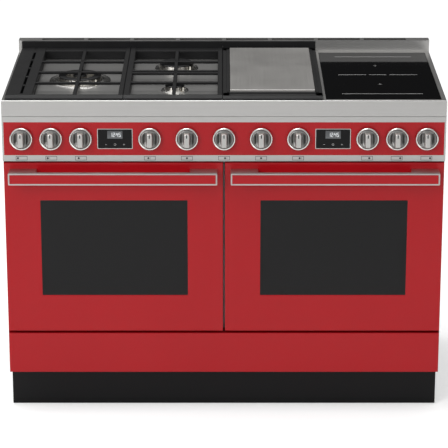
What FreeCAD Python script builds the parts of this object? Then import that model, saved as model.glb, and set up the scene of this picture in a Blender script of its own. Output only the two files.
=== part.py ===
"""Freestanding dual-fuel range, 120 cm: hob, control panel, two ovens, drawer and plinth.

Millimetres. The origin is on the floor, under the middle of the whole machine with its door handles.
X runs to the right as the user sees it, Y to the back, Z up. A depth is measured from the front plane
of the doors, so a piece at depth 60 is bound to "front + 60".
"""
import FreeCAD, Part
import math
import os
import re

import Sketcher

doc = FreeCAD.newDocument("range_cooker")

# ---------------------------------------------------------------- driving dimensions

SIZES = {
    # the whole machine
    "overall_width": 1195, "overall_depth": 600, "hob_height": 900, "steel_sheet": 1.5, "fit_gap": 0.2,
    "running_fit": 0.05,
    # the front, from the top down
    "fascia_height": 44, "fascia_seam": 1, "strip_height": 15, "panel_height": 92, "legend_height": 17,
    "gap_above_door": 4.5, "door_height": 484, "gap_below_door": 7, "drawer_height": 115.5,
    "side_gap": 2, "door_split": 5, "carrier_depth": 40, "panel_thickness": 2, "panel_margin": 4.5,
    # hob
    "hob_depth": 565, "well_depth": 14, "well_margin": 4, "hob_edge_radius": 3.5, "upstand_height": 32,
    "slot_length": 122, "slot_pitch": 134, "slot_width": 20,
    "left_grate_width": 317, "middle_grate_width": 267, "griddle_width": 270, "zone_gap": 0.6,
    "first_zone_margin": 9.5, "glass_width": 310, "glass_front": 13, "glass_length": 534,
    "glass_thickness": 4, "glass_ledge": 8, "divider_width": 8,
    # cast pan supports
    "grate_rise": 12, "grate_bar": 13, "grate_front_bar": 17, "grate_wide_band": 72, "grate_rear_band": 42,
    "grate_finger": 10, "finger_underside": 5, "riser_rise": 31, "riser_thickness": 7, "band_slot": 86,
    "band_slot_width": 6, "band_slot_in": 39.6, "bevel_drop": 7, "bevel_run": 12,
    "left_finger_front": 122, "left_finger_offset": 2, "left_finger_rear": 121, "front_finger_offset": 9,
    "rear_finger_far": 156, "rear_finger_near": 132, "rear_finger_offset": 22,
    # burners
    "left_burner_in": 186, "left_burner_depth": 275, "left_dish": 86, "left_crown": 61, "left_core": 20,
    "left_crown_hole": 39,
    "middle_burner_in": 136, "rear_burner_depth": 418, "rear_dish": 62, "rear_crown": 50,
    "front_burner_depth": 165, "front_dish": 38, "front_crown": 28, "burner_stem": 15, "burner_drop": 36,
    "stem_clearance": 1, "crown_bore": 8, "port_depth": 8, "electrode_out": 5, "electrode_radius": 2.5,
    "dish_thickness": 3, "crown_height": 10, "cap_thickness": 4, "cap_overhang": 1.5,
    # griddle and induction
    "griddle_rise": 18, "griddle_frame_rise": 12, "griddle_border": 20, "griddle_front_border": 47,
    "griddle_rear_border": 30, "griddle_seat": 8, "griddle_step_rise": 6, "griddle_edge": 1,
    "glass_edge": 0.8,
    "element_gap": 0.1, "element_margin": 10, "element_tail": 30, "griddle_plate_thickness": 8,
    "element_radius": 4, "element_pitch": 44,
    "coil_height": 9.5, "front_coil_radius": 88, "rear_coil_radius": 105, "coil_hole": 25,
    "front_coil_depth": 160, "rear_coil_depth": 388,
    # control panel
    "knob_height": 47, "knob_centre_pitch": 100, "knob_side_middle": 466, "knob_side_pitch": 80,
    "knob_radius": 31.5, "knob_ring": 6.5, "knob_standoff": 4, "knob_skirt": 8, "knob_disc_rise": 2,
    "knob_reach": 34, "grip_width": 18, "grip_length": 41, "grip_corner": 5, "grip_edge": 1.5,
    "ring_round": 1.5, "ring_lip": 0.7, "stem_radius": 4, "stem_hole": 6,
    "stem_reach": 20, "push_travel": 3, "display_offset": 293.5, "display_width": 92, "display_height": 53,
    "display_above": 19.5, "display_module_depth": 24, "module_margin": 4, "switch_size": 36,
    "switch_depth": 34,
    "tap_width": 30, "tap_height": 40, "tap_depth": 42, "rail_radius": 8, "feed_radius": 6,
    "inlet_radius": 10.475, "inlet_hole": 24, "inlet_x": 548, "tube_radius": 4, "tube_bend": 14,
    "tube_run": 32, "tube_drop": 30, "rail_overrun": 15, "inlet_length": 25,
    # doors
    "tray_depth": 20, "tray_wall": 2, "inner_frame_depth": 14, "inner_glass": 4, "door_clearance": 4,
    "door_radius": 2,
    "window_width": 403, "window_height": 276, "window_above": 104.5, "window_glass": 4, "window_lap": 12,
    "inner_margin_side": 18, "inner_margin_low": 31.5, "inner_margin_top": 18,
    "hinge_depth": 16, "hinge_rise": 19, "hinge_inset": 46, "hinge_tab": 12, "pin_radius": 4,
    "hinge_knuckle": 7,
    "ear_thickness": 3,
    "handle_reach": 52, "handle_margin": 15.5, "handle_height": 33, "handle_drop": 15.5, "bar_depth": 14,
    "bracket_width": 74, "inlay_border": 4, "inlay_depth": 2,
    # ovens
    "cavity_width": 440, "cavity_height": 350, "cavity_depth": 412, "cavity_above": 62,
    "seal_width": 6, "seal_offset": 12, "seal_gap": 0.3, "upright_inset": 25, "shelf_inset": 5,
    "ladder_radius": 2.5, "ladder_pitch": 54, "ladder_first": 68, "ladder_front": 20, "ladder_rear": 30,
    "shelf_wire": 3, "shelf_rod": 2, "shelf_rod_pitch": 32, "grill_radius": 3.5, "grill_drop": 22,
    "grill_half": 150, "grill_front": 60, "grill_bend": 30, "grill_tail": 10,
    "fan_cover": 220, "fan_cover_depth": 17, "fan_radius": 68, "fan_depth": 9, "motor_radius": 35,
    "motor_depth": 45, "shaft_radius": 4, "shaft_hole": 8,
    "vent_radius": 52, "vent_pitch": 10, "vent_slot": 6, "fan_gap": 4, "hub_wall": 5, "blade_start": 20,
    "blade_sheet": 1.2,
    # base, drawer and plinth
    "deck_gap": 1.5, "foot_inset": 60, "foot_front": 95, "foot_rear": 545, "foot_pad": 25, "foot_screw": 6,
    "foot_pad_height": 8, "partition_thickness": 2, "plinth_sheet": 2, "plinth_end_gap": 3,
    "foot_collar": 10, "foot_boss": 18, "plinth_setback": 60, "plinth_floor_gap": 3, "plinth_flange": 20,
    "box_height": 85, "box_lift": 10, "box_depth": 480, "rail_space": 14.5, "runner_width": 8,
    "runner_height": 10, "runner_clear": 0.3, "runner_lift": 35, "rail_lip": 5, "rail_start": 60,
    "side_flange": 20, "side_nose_gap": 3, "gland_radius": 14, "gland_bore": 8, "gland_height": 300,
    "gland_length": 7.5,
    "louvre_length": 160, "louvre_height": 8, "louvre_pitch": 24,
}
OVEN_SHELF_STEP = {"left": 3, "right": 2}
LADDER_STEPS, SHELF_RODS_EACH_WAY, COVER_SLOTS_EACH_WAY, FAN_BLADES = 5, 6, 4, 8
VENT_SLOTS, LOUVRES, ELEMENT_RUNS = 8, 5, 4
FLAME_PORTS = {"left": 36, "rear": 24, "front": 24}
TOUCHES = 0.01
SIDES = (("left", "-1"), ("right", "1"))

sheet = doc.addObject("Spreadsheet::Sheet", "sizes")
for row, (word, size) in enumerate(SIZES.items(), 1):
    sheet.set(f"A{row}", word)
    sheet.set(f"B{row}", str(size))
    sheet.setAlias(f"B{row}", word)
doc.recompute()

# Places that follow from the sizes; each formula may use the others.
PLACES = {
    "half": "overall_width / 2",
    "front": "-(overall_depth - handle_reach) / 2",
    "rear": "front + overall_depth",
    "inner_half": "half - steel_sheet",
    "fascia_bottom": "hob_height - fascia_height",
    "strip_top": "fascia_bottom - fascia_seam",
    "panel_top": "strip_top - strip_height",
    "panel_bottom": "panel_top - panel_height",
    "carrier_bottom": "panel_bottom - legend_height",
    "door_top": "carrier_bottom - gap_above_door",
    "door_bottom": "door_top - door_height",
    "drawer_top": "door_bottom - gap_below_door",
    "drawer_bottom": "drawer_top - drawer_height",
    "deck": "drawer_top + deck_gap",
    "door_width": "(overall_width - 2 * side_gap - door_split) / 2",
    "oven_x": "(door_split + door_width) / 2",
    "door_depth": "tray_depth + inner_frame_depth + inner_glass",
    "flange": "front + door_depth + door_clearance",
    "runner_start": "flange + 2",
    "well_floor": "hob_height - well_depth",
    "well_front": "front + well_margin",
    "well_rear": "front + hob_depth - steel_sheet",
    "zones_start": "-half + first_zone_margin",
    "middle_start": "zones_start + left_grate_width",
    "griddle_start": "middle_start + middle_grate_width",
    "griddle_end": "griddle_start + griddle_width",
    "glass_start": "griddle_end + divider_width",
    "glass_end": "glass_start + glass_width",
    "glass_low": "hob_height - glass_thickness",
    "grate_top": "hob_height + grate_rise",
    "riser_top": "hob_height + riser_rise",
    "left_burner_x": "zones_start + left_burner_in",
    "middle_burner_x": "middle_start + middle_burner_in",
    "crown_low": "well_floor + dish_thickness",
    "crown_top": "crown_low + crown_height",
    "knob_z": "panel_bottom + knob_height",
    "cavity_top": "door_top - cavity_above",
    "cavity_bottom": "cavity_top - cavity_height",
    "cavity_middle": "cavity_top - cavity_height / 2",
    "cavity_rear": "flange + cavity_depth",
    "hinge_y": "front + hinge_depth",
    "hinge_z": "door_bottom + hinge_rise",
    "window_top": "door_top - window_above",
    "handle_top": "door_top - handle_drop",
    "plate_low": "hob_height + griddle_rise - griddle_plate_thickness",
    "box_bottom": "drawer_bottom + box_lift",
    "box_half": "inner_half - steel_sheet - rail_space",
    "runner_low": "box_bottom + runner_lift",
    "ladder_x": "cavity_width / 2 - ladder_radius - fit_gap",
    "step_x": "ladder_x - 2 * ladder_radius + 1",
    "shelf_x": "ladder_x - ladder_radius - shelf_wire - 0.5",
}


def formula(text):
    """Spell a formula of plain words out as one that names the sheet's cells."""
    text = str(text)
    while any(word in PLACES for word in re.findall(r"[a-z_]+", text)):
        text = re.sub(r"[a-z_]+", lambda found: f"({PLACES[found[0]]})" if found[0] in PLACES else found[0],
                      text)
    return re.sub(r"[a-z_]+", lambda found: f"sizes.{found[0]}" if found[0] in SIZES else found[0], text)


def value(text):
    """The number that a formula gives now."""
    return float(sheet.evalExpression(formula(text)))


def bind(item, prop, text):
    item.setExpression(prop, formula(text))


# ---------------------------------------------------------------- plain solids and booleans

def block(name, x, y, z):
    """A block between two places on each axis."""
    item = doc.addObject("Part::Box", name)
    for axis, size, (low, high) in zip("xyz", ("Length", "Width", "Height"), (x, y, z)):
        bind(item, f"Placement.Base.{axis}", low)
        bind(item, size, f"({high}) - ({low})")
    return item


TURN = {"x": FreeCAD.Rotation(FreeCAD.Vector(0, 1, 0), 90),
        "y": FreeCAD.Rotation(FreeCAD.Vector(1, 0, 0), -90),
        "z": FreeCAD.Rotation()}


def rod(name, axis, start, radius, length):
    """A round bar from a start point along an axis."""
    item = doc.addObject("Part::Cylinder", name)
    item.Placement = FreeCAD.Placement(FreeCAD.Vector(), TURN[axis])
    for letter, place in zip("xyz", start):
        bind(item, f"Placement.Base.{letter}", place)
    bind(item, "Radius", radius)
    bind(item, "Height", length)
    return item


def fuse(name, parts):
    item = doc.addObject("Part::MultiFuse", name)
    item.Shapes = parts
    item.Refine = True
    return item


def cut(name, base, tools):
    item = doc.addObject("Part::Cut", name)
    item.Base = base
    item.Tool = tools[0] if len(tools) == 1 else fuse(name + "_cutters", tools)
    item.Refine = True
    return item


def group(name, parts):
    """Like pieces that share one node, each its own solid."""
    item = doc.addObject("Part::Compound", name)
    item.Links = parts
    return item


def bent_tube(name, corners, radius, bend):
    """A round bar along straight runs joined by tangent arcs of one bend radius."""
    spots = [FreeCAD.Vector(*(value(place) for place in corner)) for corner in corners]
    bend = value(bend)
    edges, last = [], spots[0]
    for before, corner, after in zip(spots, spots[1:], spots[2:]):
        into, out = (before - corner).normalize(), (after - corner).normalize()
        half_turn = (math.pi - into.getAngle(out)) / 2
        reach = bend * math.tan(half_turn)
        middle = corner + (into + out).normalize() * (bend / math.cos(half_turn) - bend)
        edges.append(Part.LineSegment(last, corner + into * reach).toShape())
        last = corner + out * reach
        edges.append(Part.Arc(corner + into * reach, middle, last).toShape())
    edges.append(Part.LineSegment(last, spots[-1]).toShape())
    ring = Part.Wire(Part.makeCircle(value(radius), spots[0], spots[1] - spots[0]))
    item = doc.addObject("Part::Feature", name)
    item.Shape = Part.Wire(edges).makePipeShell([ring], True, False)
    return item


# ---------------------------------------------------------------- bodies made from sketches

def sketch_on(body, role, name, offset=None):
    """An empty sketch on one of the body's own planes, moved along the plane's normal."""
    sketch = body.newObject("Sketcher::SketchObject", name)
    plane = [item for item in body.Origin.OriginFeatures if item.Role == role][0]
    sketch.AttachmentSupport = [(plane, "")]
    sketch.MapMode = "FlatFace"
    if offset is not None:
        bind(sketch, "AttachmentOffset.Base.z", offset)
    return sketch


def hold_point(sketch, geometry, corner, u, v):
    """Hold one point of a sketch at two formulas from the sketch's origin."""
    for kind, place in (("DistanceX", u), ("DistanceY", v)):
        index = sketch.addConstraint(Sketcher.Constraint(kind, -1, 1, geometry, corner, value(place)))
        sketch.setExpression(f"Constraints[{index}]", formula(place))


def outline(body, role, name, points, offset=None):
    """A closed sketch of straight lines through the points."""
    sketch = sketch_on(body, role, name, offset)
    spots = [FreeCAD.Vector(value(u), value(v), 0) for u, v in points]
    for start, end in zip(spots, spots[1:] + spots[:1]):
        sketch.addGeometry(Part.LineSegment(start, end), False)
    for index in range(len(spots)):
        sketch.addConstraint(Sketcher.Constraint("Coincident", index, 2, (index + 1) % len(spots), 1))
    for index, (u, v) in enumerate(points):
        hold_point(sketch, index, 1, u, v)
    return sketch


def rectangle(body, role, name, u, v, offset=None):
    return outline(body, role, name, [(u[0], v[0]), (u[1], v[0]), (u[1], v[1]), (u[0], v[1])], offset)


def circles(body, role, name, rounds, offset=None):
    """A sketch of circles, each a centre and a radius."""
    sketch = sketch_on(body, role, name, offset)
    for index, (u, v, radius) in enumerate(rounds):
        centre = FreeCAD.Vector(value(u), value(v), 0)
        sketch.addGeometry(Part.Circle(centre, FreeCAD.Vector(0, 0, 1), value(radius)), False)
        hold_point(sketch, index, 3, u, v)
        size = sketch.addConstraint(Sketcher.Constraint("Radius", index, value(radius)))
        sketch.setExpression(f"Constraints[{size}]", formula(radius))
    return sketch


def pad(body, sketch, length, reverse=False):
    feature = body.newObject("PartDesign::Pad", sketch.Name + "_pad")
    feature.Profile = sketch
    feature.Reversed = reverse
    bind(feature, "Length", length)
    doc.recompute()
    return feature


def pocket(body, sketch, length, reverse=False):
    """Cut a sketch into the body, and make sure that it did cut."""
    before = body.Shape.Volume
    feature = body.newObject("PartDesign::Pocket", sketch.Name + "_pocket")
    feature.Profile = sketch
    feature.Reversed = reverse
    bind(feature, "Length", length)
    doc.recompute()
    if body.Shape.Volume >= before - 1e-6:
        raise RuntimeError(f"{sketch.Name} cuts nothing")
    return feature


def turned(body, sketch, axis, kind="Revolution"):
    """Turn a sketch a full circle about its own horizontal or vertical axis."""
    feature = body.newObject(f"PartDesign::{kind}", f"{sketch.Name}_{kind.lower()}")
    feature.Profile = sketch
    feature.ReferenceAxis = (sketch, [axis])
    feature.Angle = 360
    doc.recompute()
    return feature


def round_edges(body, base, radius, chosen):
    """Round the edges of a feature whose middle point passes a test."""
    edges = [f"Edge{n}" for n, edge in enumerate(base.Shape.Edges, 1) if chosen(edge.CenterOfMass)]
    feature = body.newObject("PartDesign::Fillet", base.Name + "_fillet")
    feature.Base = (base, edges)
    bind(feature, "Radius", radius)
    doc.recompute()
    return feature


def new_body(name, x="0", y="0", z="0"):
    body = doc.addObject("PartDesign::Body", name)
    for letter, place in zip("xyz", (x, y, z)):
        bind(body, f"Placement.Base.{letter}", place)
    return body


# ---------------------------------------------------------------- base, panels and plinth

def base_frame():
    """Welded steel base: pan, side webs, deck over the drawer, rear wall, foot bosses and drawer rails."""
    depth = ("flange", "rear - 2 * steel_sheet")
    wide = ("-inner_half", "inner_half")
    pan_low = "drawer_bottom - steel_sheet"
    wall = ("rear - 3 * steel_sheet", depth[1])
    parts = [block("base_deck", wide, depth, ("deck", "deck + steel_sheet")),
             block("base_rear_wall", wide, wall, ("drawer_bottom", "deck"))]
    for side, sign in SIDES:
        web_inner = f"{sign} * (inner_half - steel_sheet)"
        web = (f"{sign} * inner_half", web_inner)
        lip = (web_inner, f"{sign} * (box_half + fit_gap)")
        if side == "right":
            web, lip = web[::-1], lip[::-1]
        rail_run = ("front + rail_start", "front + tray_depth + box_depth + rail_start")
        low_face = "runner_low - runner_clear"
        high_face = "runner_low + runner_height + runner_clear"
        parts += [block(f"base_web_{side}", web, (depth[0], wall[0]), ("drawer_bottom", "deck")),
                  block(f"rail_low_{side}", lip, rail_run, (f"{low_face} - rail_lip", low_face)),
                  block(f"rail_high_{side}", lip, rail_run, (high_face, f"{high_face} + rail_lip"))]
    bores = []
    for spot, x, y in foot_places():
        bore = rod(f"foot_bore_{spot}", "z", (x, y, f"{pan_low} - foot_boss - 1"), "foot_screw + running_fit",
                   "foot_boss + steel_sheet + 2")
        boss = rod(f"foot_boss_{spot}", "z", (x, y, f"{pan_low} - foot_boss"), "foot_collar", "foot_boss")
        parts.append(cut(f"foot_nut_{spot}", boss, [bore]))
        bores.append(bore)
    pan = cut("drilled_pan", block("base_pan", wide, depth, (pan_low, "drawer_bottom")), bores)
    return group("base_frame", [pan, *parts])


def foot_places():
    """The four feet: a name, X and Y."""
    for side, sign in SIDES:
        for end in ("front", "rear"):
            yield f"{side}_{end}", f"{sign} * (half - foot_inset)", f"front + foot_{end}"


def levelling_feet():
    """Screw feet: pad, screw and the collar that the boss stands on."""
    feet = []
    collar_top = "drawer_bottom - steel_sheet - foot_boss"
    for spot, x, y in foot_places():
        feet.append(fuse(f"foot_{spot}", [
            rod(f"foot_pad_{spot}", "z", (x, y, "0"), "foot_pad", "foot_pad_height"),
            rod(f"foot_screw_{spot}", "z", (x, y, "0"), "foot_screw", f"{collar_top} + foot_boss"),
            rod(f"foot_collar_{spot}", "z", (x, y, f"{collar_top} - foot_pad_height"), "foot_collar + 1",
                "foot_pad_height")]))
    return group("levelling_feet", feet)


def side_panels():
    """Enamelled side sheets with a flange along the top and one down the back."""
    sides = []
    for side, sign in SIDES:
        sheet_x, flange_x = ["-half", "-inner_half"], ["-half", "-half + side_flange"]
        if side == "right":
            sheet_x, flange_x = ["inner_half", "half"], ["half - side_flange", "half"]
        high = ("drawer_bottom - steel_sheet", "fascia_bottom")
        sides.append(fuse(f"side_panel_{side}", [
            block(f"side_sheet_{side}", sheet_x, ("front + carrier_depth + 2", "rear - steel_sheet"), high),
            block(f"side_nose_{side}", sheet_x, ("front + tray_depth + side_nose_gap",
                                                 "front + carrier_depth + 2"),
                  (high[0], "carrier_bottom - fit_gap")),
            block(f"side_top_{side}", flange_x, ("front + 2 * carrier_depth", "rear - steel_sheet"),
                  ("fascia_bottom - steel_sheet", "fascia_bottom")),
            block(f"side_back_{side}", flange_x, ("rear - 2 * steel_sheet", "rear - steel_sheet"),
                  ("deck + 2 * steel_sheet", "fascia_bottom"))]))
    return group("side_panels", sides)


def back_panel():
    """Rear sheet with louvres, the gas inlet's hole and the cable gland's boss."""
    body_z = ("drawer_bottom - steel_sheet", "fascia_bottom - fit_gap")
    sheet_part = block("back_sheet", ("-half + side_gap", "half - side_gap"), ("rear - steel_sheet", "rear"),
                       body_z)
    gland = ("half - 2 * foot_inset", "rear - gland_length", "gland_height")
    boss = rod("gland_boss", "y", gland, "gland_radius", "gland_length")
    tools = [rod("gland_hole", "y", gland, "gland_bore", "gland_length + 1"),
             rod("inlet_opening", "y", ("-inlet_x", "rear - 3 * steel_sheet", "knob_z"), "inlet_hole",
                 "4 * steel_sheet")]
    for side, sign in SIDES:
        for step in range(LOUVRES):
            low = f"cavity_middle + {step} * louvre_pitch"
            tools.append(block(f"louvre_{side}_{step}",
                               (f"{sign} * oven_x - louvre_length / 2",
                                f"{sign} * oven_x + louvre_length / 2"),
                               ("rear - 2 * steel_sheet", "rear + 1"), (low, f"{low} + louvre_height")))
    return cut("back_panel", fuse("back_with_boss", [sheet_part, boss]), tools)


def centre_partition():
    """Upright sheet between the two ovens, from the deck to the hob."""
    half_sheet = "partition_thickness / 2"
    return block("centre_partition", (f"-{half_sheet}", half_sheet), ("flange", "rear - 3 * steel_sheet"),
                 ("deck + steel_sheet", "carrier_bottom"))


def plinth():
    """Black kick board with returns at both ends and a flange under the base."""
    top = "drawer_bottom - steel_sheet - fit_gap"
    board = "front + plinth_setback"
    ends = ("-half + plinth_end_gap", "half - plinth_end_gap")
    inner = (f"{ends[0]} + plinth_sheet", f"{ends[1]} - plinth_sheet")
    parts = [block("plinth_board", ends, (board, f"{board} + plinth_sheet"), ("plinth_floor_gap", top)),
             block("plinth_top", inner, (f"{board} + plinth_sheet",
                                         f"{board} + plinth_sheet + plinth_flange / 2"),
                   (f"{top} - plinth_sheet", top))]
    for side, x in (("left", (ends[0], inner[0])), ("right", (inner[1], ends[1]))):
        parts.append(block(f"plinth_return_{side}", x,
                           (f"{board} + plinth_sheet", f"{board} + plinth_flange"),
                           ("plinth_floor_gap", top)))
    return group("plinth", parts)


# ---------------------------------------------------------------- hob

def hob_top():
    """Pressed steel top: skirt, pan-support well, glass rebate, burner holes and griddle window."""
    deep = ("front", "front + hob_depth")
    shell = cut("hob_shell", block("hob_outer", ("-half", "half"), deep, ("fascia_bottom", "hob_height")),
                [block("hob_hollow", ("-inner_half", "inner_half"),
                       ("front + steel_sheet", "front + hob_depth - steel_sheet"),
                       ("fascia_bottom - 1", "hob_height - steel_sheet"))])
    well = block("well_pan", ("-inner_half", "griddle_end + divider_width / 2"),
                 ("front", "front + hob_depth"),
                 ("well_floor - steel_sheet", "hob_height"))
    rebate = block("glass_pan", ("glass_start - divider_width / 2", "inner_half"),
                   ("front", "front + hob_depth"),
                   ("glass_low - steel_sheet", "hob_height"))
    glass_x = ("glass_start - fit_gap", "glass_end + fit_gap")
    glass_y = ("front + glass_front - fit_gap", "front + glass_front + glass_length + fit_gap")
    tools = [block("well_space", ("zones_start - fit_gap", "griddle_end + fit_gap"),
                   ("well_front", "well_rear"),
                   ("well_floor", "hob_height + 1")),
             block("glass_space", glass_x, glass_y, ("glass_low", "hob_height + 1")),
             block("glass_window", ("glass_start + glass_ledge", "glass_end - glass_ledge"),
                   ("front + glass_front + glass_ledge", "front + glass_front + glass_length - glass_ledge"),
                   ("fascia_bottom", "hob_height")),
             block("griddle_window", ("griddle_start + 2 * griddle_border",
                                      "griddle_end - 2 * griddle_border"),
                   ("front + 2 * griddle_front_border", "front + hob_depth - 2 * griddle_front_border"),
                   ("fascia_bottom", "hob_height"))]
    for name, x, depth in BURNERS:
        tools.append(rod(f"burner_hole_{name}", "z", (x, f"front + {depth}", "fascia_bottom"),
                         "burner_stem + stem_clearance", "fascia_height"))
    whole = cut("hob_pressing", fuse("hob_sheet", [shell, well, rebate]), tools)
    doc.recompute()
    front, top = value("front"), value("hob_height")
    sides = [value("half"), -value("half")]
    rounded = doc.addObject("Part::Fillet", "hob_top")
    rounded.Base = whole
    radius = value("hob_edge_radius")
    rounded.Edges = [(n, radius, radius) for n, edge in enumerate(whole.Shape.Edges, 1)
                     if abs(edge.CenterOfMass.z - top) < TOUCHES
                     and (abs(edge.CenterOfMass.y - front) < TOUCHES
                          or any(abs(edge.CenterOfMass.x - side) < TOUCHES for side in sides))]
    return rounded


BURNERS = [("left", "left_burner_x", "left_burner_depth"),
           ("rear", "middle_burner_x", "rear_burner_depth"),
           ("front", "middle_burner_x", "front_burner_depth")]


def hob_upstand():
    """Folded steel upstand behind the hob, open below, with vent slots along its top."""
    deep = ("front + hob_depth", "rear")
    top = "hob_height + upstand_height"
    box = cut("upstand_shell", block("upstand_outer", ("-half", "half"), deep, ("fascia_bottom", top)),
              [block("upstand_hollow", ("-inner_half", "inner_half"),
                     (f"{deep[0]} + steel_sheet", "rear - steel_sheet"),
                     ("fascia_bottom - 1", f"{top} - steel_sheet"))])
    middle = f"({deep[0]} + {deep[1]}) / 2"
    tools = []
    for step in range(VENT_SLOTS):
        centre = f"({step} - {(VENT_SLOTS - 1) / 2}) * slot_pitch"
        tools.append(block(f"vent_slot_{step}", (f"{centre} - slot_length / 2",
                                                 f"{centre} + slot_length / 2"),
                           (f"{middle} - slot_width / 2", f"{middle} + slot_width / 2"),
                           (f"{top} - 2 * steel_sheet", f"{top} + 1")))
    return cut("hob_upstand", box, tools)


def burner_bases():
    """Burner bodies: a dish on the hob and a mixing stem that drops through it."""
    bases = []
    for name, x, depth in BURNERS:
        body = new_body(f"burner_base_{name}", x, f"front + {depth}", "well_floor")
        dish = f"{name}_dish"
        section = outline(body, "XZ_Plane", f"base_section_{name}",
                          [("0", "-burner_drop"), ("burner_stem", "-burner_drop"), ("burner_stem", "0"),
                           (dish, "0"), (dish, "dish_thickness / 2"), (f"{dish} - 2", "dish_thickness"),
                           ("0", "dish_thickness")])
        turned(body, section, "V_Axis")
        bases.append(body)
    return group("burner_bases", bases)


def burner_crowns():
    """Flame rings: a turned ring with flame ports milled round its upper edge; the left one has a core."""
    crowns = []
    for name, x, depth in BURNERS:
        radius = f"{name}_crown"
        hole = "left_crown_hole" if name == "left" else "crown_bore"
        body = new_body(f"crown_{name}", x, f"front + {depth}", "crown_low")
        section = outline(body, "XZ_Plane", f"crown_section_{name}",
                          [(hole, "0"), (radius, "0"), (f"{radius} - 2", "crown_height"),
                           (hole, "crown_height")])
        turned(body, section, "V_Axis")
        port = rectangle(body, "XY_Plane", f"port_{name}", (f"{radius} - port_depth", f"{radius} + 2"),
                         ("-1", "1"),
                         "crown_height")
        first = pocket(body, port, "crown_height / 2")
        ports = body.newObject("PartDesign::PolarPattern", f"ports_{name}")
        ports.Originals = [first]
        ports.Axis = (port, ["N_Axis"])
        ports.Angle = 360
        ports.Occurrences = FLAME_PORTS[name]
        body.Tip = ports
        doc.recompute()
        crowns.append(body)
    crowns.append(rod("crown_core", "z", ("left_burner_x", "front + left_burner_depth", "crown_low"),
                      "left_core", "crown_height"))
    return group("burner_crowns", crowns)


def burner_caps():
    """Enamelled caps that lie on the crowns; the left one is a ring with a small cap in its middle."""
    caps = []
    for name, x, depth in BURNERS:
        edge = f"{name}_crown - cap_overhang"
        hole = "left_crown_hole + 1" if name == "left" else "0"
        body = new_body(f"cap_{name}", x, f"front + {depth}", "crown_top")
        section = outline(body, "XZ_Plane", f"cap_section_{name}",
                          [(hole, "0"), (edge, "0"), (edge, "cap_thickness / 2"),
                           (f"{edge} - 3", "cap_thickness"), (hole, "cap_thickness")])
        turned(body, section, "V_Axis")
        caps.append(body)
    caps.append(rod("cap_core", "z", ("left_burner_x", "front + left_burner_depth", "crown_top"),
                    "left_core - 1", "cap_thickness"))
    return group("burner_caps", caps)


def spark_electrodes():
    """A ceramic spark pin beside each crown, standing on the burner's dish."""
    pins = []
    for name, x, depth in BURNERS:
        reach = f"({name}_crown + electrode_out) * {math.sqrt(0.5):.4f}"
        spot = (f"{x} + {reach}", f"front + {depth} - {reach}")
        pins.append(fuse(f"electrode_{name}", [
            rod(f"electrode_body_{name}", "z", (*spot, "crown_low"), "electrode_radius", "crown_height - 2"),
            rod(f"electrode_tip_{name}", "z", (*spot, "crown_low"), "1", "crown_height + 1")]))
    return group("spark_electrodes", pins)


def grate_frame(name, x, bars, slots):
    """Cast frame in the well with fingers over the burners and a riser along its back edge.

    x is the frame's left and right edge; bars are the bands' widths at the left and right.
    """
    left, right = f"{x[0]} + zone_gap / 2", f"{x[1]} - zone_gap / 2"
    inner_left, inner_right = f"{left} + {bars[0]}", f"{right} - {bars[1]}"
    near, far = "well_front + fit_gap", "well_rear - fit_gap"
    inner_near, inner_far = f"{near} + grate_front_bar", f"{far} - grate_rear_band"
    whole = block(f"{name}_slab", (left, right), (near, far), ("well_floor", "grate_top"))
    window = [block(f"{name}_window", (inner_left, inner_right), (inner_near, inner_far),
                    ("well_floor - 1", "grate_top + 1"))]
    for step in range(slots):
        start = f"{inner_near} + grate_bar + {step} * (band_slot + grate_finger)"
        slot_x = f"{left} + band_slot_in"
        window.append(block(f"{name}_band_slot_{step}", (slot_x, f"{slot_x} + band_slot_width"),
                            (start, f"{start} + band_slot"), ("well_floor - 1", "grate_top + 1")))
    ring = cut(f"{name}_ring", whole, window)
    riser = block(f"{name}_riser", (left, right), (f"{far} - riser_thickness", far),
                  ("well_floor", "riser_top"))
    return ring, riser, (inner_left, inner_right), (inner_near, inner_far)


LEFT_FINGERS = ["left_burner_depth - left_finger_front", "left_burner_depth - left_finger_offset",
                "left_burner_depth + left_finger_rear"]
MIDDLE_FINGERS = ["front_burner_depth - front_finger_offset", "rear_burner_depth - rear_finger_far",
                  "rear_burner_depth - rear_finger_near", "rear_burner_depth - rear_finger_offset"]


def pan_support(name, x, bars, burner_x, cross_depths, slots):
    ring, riser, inside_x, inside_y = grate_frame(name, x, bars, slots)
    low = "hob_height + finger_underside"
    fingers = [block(f"{name}_long_finger", (f"{burner_x} - grate_finger / 2",
                                             f"{burner_x} + grate_finger / 2"),
                     inside_y, (low, "grate_top"))]
    for step, depth in enumerate(cross_depths):
        middle = f"front + {depth}"
        fingers.append(block(f"{name}_cross_finger_{step}", inside_x,
                             (f"{middle} - grate_finger / 2", f"{middle} + grate_finger / 2"),
                             (low, "grate_top")))
    whole = fuse(f"{name}_casting", [ring, riser, *fingers])
    doc.recompute()
    near, top = value("well_front + fit_gap"), value("grate_top")
    bevelled = doc.addObject("Part::Chamfer", name)
    bevelled.Base = whole
    bevelled.Edges = [(n, value("bevel_drop"), value("bevel_run")) for n,
                      edge in enumerate(whole.Shape.Edges, 1)
                      if abs(edge.CenterOfMass.y - near) < TOUCHES and abs(edge.CenterOfMass.z - top) < TOUCHES]
    return bevelled


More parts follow.
